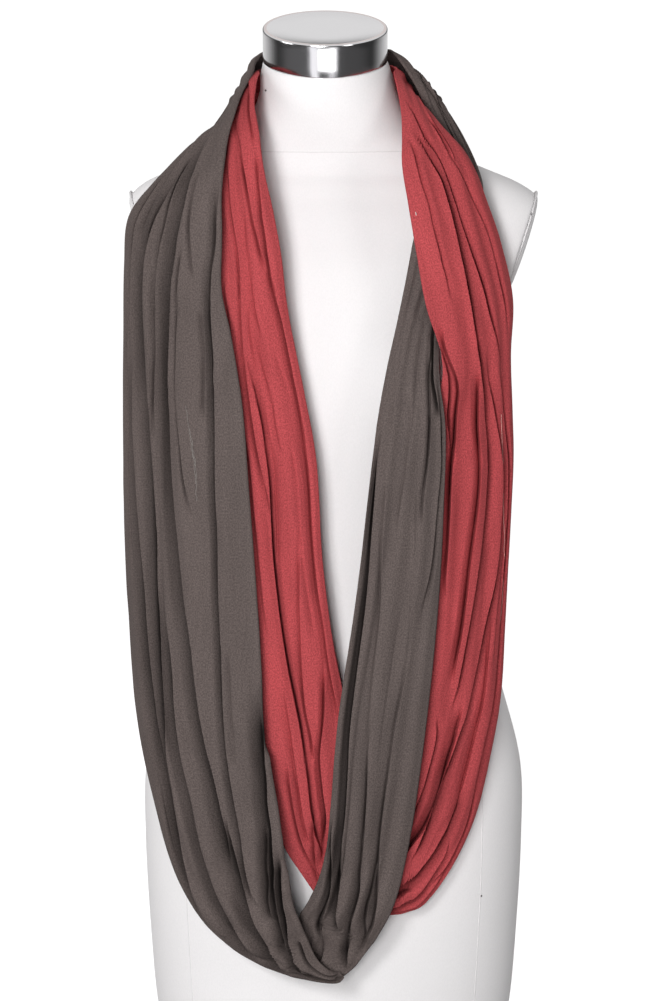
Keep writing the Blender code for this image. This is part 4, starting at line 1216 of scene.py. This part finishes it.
def build_cloth_details(dark, red, dark_jersey, red_jersey):
    """Both cross seams, a streak of lint, a loose thread and a raw edge's pale side."""
    build_cross_seam("dark_seam", dark, DARK_SEAM_PLACE, dark_jersey)
    build_cross_seam("red_seam", red, RED_SEAM_PLACE + RED_RIDGE_SHIFT, red_jersey)
    lint = make_plain("lint", LINT_COLOUR, 0.9)
    fibres = []
    for begin, end, shift in LINT:
        steps = [begin + (end - begin) * step for step in (0.0, 0.33, 0.67, 1.0)]
        track = [(place, np.interp(place, *LINT_LINE) + shift) for place in steps]
        fibres.append(line_on_cloth(dark, track, 14, LINT_LIFT))
    add_threads("lint_streak", fibres, LINT_RADIUS, lint)
    pale = make_plain("pale_thread", THREAD_COLOUR, 0.8)
    thread = line_on_cloth(red, LOOSE_THREAD, 12, THREAD_LIFT)
    add_threads("loose_thread", [thread], THREAD_RADIUS, pale)
    edge = make_plain("raw_edge", RAW_EDGE_COLOUR, 0.9)
    fray = line_on_cloth(red, RAW_EDGE, 90, RAW_EDGE_LIFT)
    add_threads("raw_edge_line", [fray], RAW_EDGE_RADIUS, edge)


def build_form_seams(material):
    """The cover's seams: round the neck, down the front and the back, and round both plates."""
    neck = form_place(NECK_SEAM_HEIGHT)
    turns = np.linspace(0, 2 * math.pi, 180, endpoint=False)
    add_threads("neck_seam", [[form_point(neck, turn) for turn in turns]], FORM_SEAM_RADIUS,
                material, closed=True)
    lines = []
    for degrees in LONG_SEAMS:
        places = form_place(np.linspace(LONG_SEAM_FOOT, LONG_SEAM_TOP, 160))
        lines.append([form_point(place, math.radians(degrees)) for place in places])
    add_threads("long_seams", lines, FORM_SEAM_RADIUS, material)
    ring = (PIPING_LIFT, ARM_PLATE_HALF_DEPTH + PIPING_GAP, ARM_PLATE_HALF_HEIGHT + PIPING_GAP)
    lines = []
    for side in (-1, 1):
        centre, outward, upward = arm_plate_frame(side)
        lines.append(turned_rings([ring], PIPING_POINTS, centre, outward, FORWARD, upward))
    add_threads("arm_piping", lines, PIPING_RADIUS, material, closed=True)


def build_pins(material):
    """Small round-headed pins, pushed into the cover."""
    points, faces = [], []
    for height, degrees in PINS:
        head = form_point(form_place(height), math.radians(degrees))
        out = unit(head - STAND - np.array((0.0, 0.0, height)))
        aside = unit(np.cross(out, (0.0, 0.0, 1.0)))
        over = np.cross(aside, out)
        first = len(points)
        profile = [(high, wide, wide) for high, wide in PIN_PROFILE]
        points += turned_rings(profile, PIN_POINTS, head, out, aside, over)
        rounds = grid_faces(len(PIN_PROFILE), PIN_POINTS, wrap_columns=True)
        faces += moved_on(rounds, first)
    pins = add_piece("pins", points, faces, material)


# ---------------------------------------------------------------- stage, light and camera

EYE = (0.002, -3.026, 1.02)       # where the camera stands
LOOK_DOWN = 9.6                   # degrees below the level
LENS = 121.1                      # millimetres, as the sensor's width
SENSOR_WIDTH = 36.0
# Watts, place, the point that it faces, width and height of each light.
Softbox = namedtuple("Softbox", "name power place target size")
SOFTBOXES = (
    Softbox("key", 41.0, (-0.88, -2.85, 1.55), (0.0, 0.0, 0.45), (0.6, 0.6)),
    Softbox("front", 50.0, (-0.40, -3.2, 0.90), (0.0, 0.0, 0.45), (0.7, 0.7)),
    Softbox("bounce", 3.0, (0.10, -1.6, 0.02), (0.0, 0.0, 0.30), (1.0, 0.3)),
    Softbox("left", 17.0, (-2.7, -0.9, 1.20), (0.0, 0.0, 0.45), (1.0, 1.4)),
    Softbox("right", 12.0, (1.9, -2.2, 1.20), (0.0, 0.0, 0.45), (0.8, 1.2)),
)
BACKDROP = 1.05                   # brightness of the backdrop that the camera itself sees
FLOOR_GLOW = 0.62
ROOM_FRONT = 0.10                 # brightness of the room before the form
ROOM_BACK = 1.05                  # brightness of the backdrop behind it
ROOM_BELOW = 0.9
ROOM_ABOVE = 0.9
MIRROR_ABOVE = 1.0                # brightness overhead, as the cap's metal reflects it
MIRROR_BEHIND = 0.8               # the same for the backdrop
# Degrees to the side of straight ahead and brightness there, from left to right.
CARDS = ((-46, 0.10), (-36, 0.10), (-33, 0.25), (-28, 1.5), (-18, 1.45), (-12, 0.1), (4, 0.08),
         (10, 0.7), (16, 1.0), (22, 0.7), (28, 0.05))


def build_floor():
    """A plain pale floor under the form."""
    material, tree, shader = new_material("floor", (0.90, 0.90, 0.90), 0.6)
    shader.inputs["Emission Color"].default_value = (1.0, 1.0, 1.0, 1.0)
    shader.inputs["Emission Strength"].default_value = FLOOR_GLOW
    place = texture_place(tree, "Object")
    grain = stretched_noise(tree, place, (3.0, 3.0, 3.0), 2.0)
    shade = blend_colours(tree, grain, 0.3, 0.7, (0.89, 0.89, 0.89), (0.91, 0.91, 0.91))
    tree.links.new(shade, shader.inputs["Base Color"])
    mesh = bpy.data.meshes.new("floor")
    mesh.from_pydata([(-1.8, -1.0, 0), (1.8, -1.0, 0), (1.8, 2.6, 0), (-1.8, 2.6, 0)], [],
                     [(0, 1, 2, 3)])
    mesh.materials.append(material)
    floor = bpy.data.objects.new("floor", mesh)
    floor.visible_diffuse = False
    floor.visible_glossy = False
    bpy.context.scene.collection.objects.link(floor)
    floor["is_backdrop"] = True


def add_softbox(name, power, place, target, size):
    """A square soft light that faces a point."""
    light = bpy.data.lights.new(name, "AREA")
    light.shape = "RECTANGLE"
    light.size, light.size_y = size
    light.energy = power
    box = bpy.data.objects.new(name, light)
    box.location = place
    box.rotation_euler = (Vector(target) - Vector(place)).to_track_quat("-Z", "Y").to_euler()
    bpy.context.scene.collection.objects.link(box)


def build_light():
    """The soft lights, then a room that is bright behind the form and mirrored by its cap."""
    for box in SOFTBOXES:
        add_softbox(*box)
    world = bpy.data.worlds.new("studio")
    bpy.context.scene.world = world
    world.use_nodes = True
    tree = world.node_tree
    seen = tree.nodes["Background"]
    seen.inputs["Color"].default_value = (1.0, 1.0, 1.0, 1.0)
    seen.inputs["Strength"].default_value = BACKDROP
    direction = texture_place(tree, "Generated")
    split = new_node(tree, "SeparateXYZ", {"Vector": direction})
    behind = world_ramp(tree, split.outputs["Y"], -0.2, 0.8, ROOM_FRONT, ROOM_BACK)
    above = world_ramp(tree, split.outputs["Z"], -0.25, 0.55, ROOM_BELOW, ROOM_ABOVE)
    room = new_node(tree, "Background", {"Color": combine_colours(tree, behind, above)})
    overhead = world_ramp(tree, split.outputs["Z"], 0.1, 0.5, 0.04, MIRROR_ABOVE)
    backdrop = world_ramp(tree, split.outputs["Y"], 0.15, 1.0, 0.0, MIRROR_BEHIND)
    low = world_ramp(tree, split.outputs["Z"], 0.10, -0.05, 0.0, 1.0)
    upright = combine_colours(tree, combine_colours(tree, backdrop, low), cards_below(tree, split),
                              "ADD")
    around_cap = combine_colours(tree, overhead, upright, "ADD")
    mirrored = new_node(tree, "Background", {"Color": around_cap})
    ray = tree.nodes.new("ShaderNodeLightPath")
    shown = room.outputs["Background"]
    for kind, source in (("Is Glossy Ray", mirrored), ("Is Camera Ray", seen)):
        either = new_node(tree, "MixShader", {"Fac": ray.outputs[kind], 1: shown,
                                              2: source.outputs["Background"]})
        shown = either.outputs["Shader"]
    tree.links.new(shown, tree.nodes["World Output"].inputs["Surface"])


def cards_below(tree, split):
    """Upright bright cards on the floor before the form, as the cap's band reflects them."""
    forward = new_node(tree, "Math", {0: split.outputs["Y"], 1: -1.0}, operation="MULTIPLY")
    azimuth = new_node(tree, "Math", {0: split.outputs["X"], 1: forward.outputs["Value"]},
                       operation="ARCTAN2")
    share = world_ramp(tree, azimuth.outputs["Value"], -math.pi / 3, math.pi / 3, 0.0, 1.0,
                       "LINEAR")
    ramp = new_node(tree, "ValToRGB", {"Fac": share})
    stops = ramp.color_ramp.elements
    for degrees, bright in CARDS:
        stop = stops.new(degrees / 120 + 0.5)
        stop.color = (bright, bright, bright * 1.03, 1.0)
    stops.remove(stops[-1])
    stops.remove(stops[0])
    low = world_ramp(tree, split.outputs["Z"], -0.25, -0.38, 0.0, 1.0)
    return combine_colours(tree, ramp.outputs["Color"], low)


def world_ramp(tree, value, low, high, first, second, kind="SMOOTHSTEP"):
    """Pass from one brightness to another as a direction's part runs from low to high."""
    spread = new_node(tree, "MapRange", {"Value": value, "From Min": low, "From Max": high,
                                         "To Min": first, "To Max": second},
                      interpolation_type=kind)
    return spread.outputs["Result"]


def build_camera():
    """The camera stands in front of the form and looks slightly down."""
    camera = bpy.data.cameras.new("camera")
    camera.sensor_width = SENSOR_WIDTH
    camera.lens = LENS
    eye = bpy.data.objects.new("camera", camera)
    eye.location = EYE
    eye.rotation_euler = (math.radians(90 - LOOK_DOWN), 0.0, 0.0)
    bpy.context.scene.collection.objects.link(eye)
    bpy.context.scene.camera = eye
    bpy.context.scene.view_settings.view_transform = "Standard"


# ---------------------------------------------------------------- everything in its place

build_camera()
build_light()
build_floor()

cover = make_cover("cover", COVER_COLOUR)
form = build_form(cover)
build_arm_plates(cover)
build_cap(make_chrome("chrome_band", BAND_COLOUR, 0.14, 900.0),
          make_chrome("satin_top", TOP_COLOUR, 0.38, 300.0))

around = surface_tree((form, bare_grid(DARK_LOOP), bare_grid(RED_LOOP)))
dark_jersey = make_jersey(*DARK_JERSEY)
red_jersey = make_jersey(*RED_JERSEY)
dark = build_loop(DARK_LOOP, dark_jersey, DARK_SEED,
                  (("dark_right", "dark_shoulder"), ("dark_nape", "dark_left")),
                  around)
red = build_loop(RED_LOOP, red_jersey, RED_SEED,
                 (("red_left",), ("red_nape", "red_right")),
                 around)
build_cloth_details(dark, red, dark_jersey, red_jersey)
build_form_seams(make_cover("seam_cover", SEAM_COLOUR))
build_pins(make_plain("pin_head", PIN_COLOUR, 0.3))

{"solids": SOLID_BOX, "scene": [list(corner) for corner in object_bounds()]}
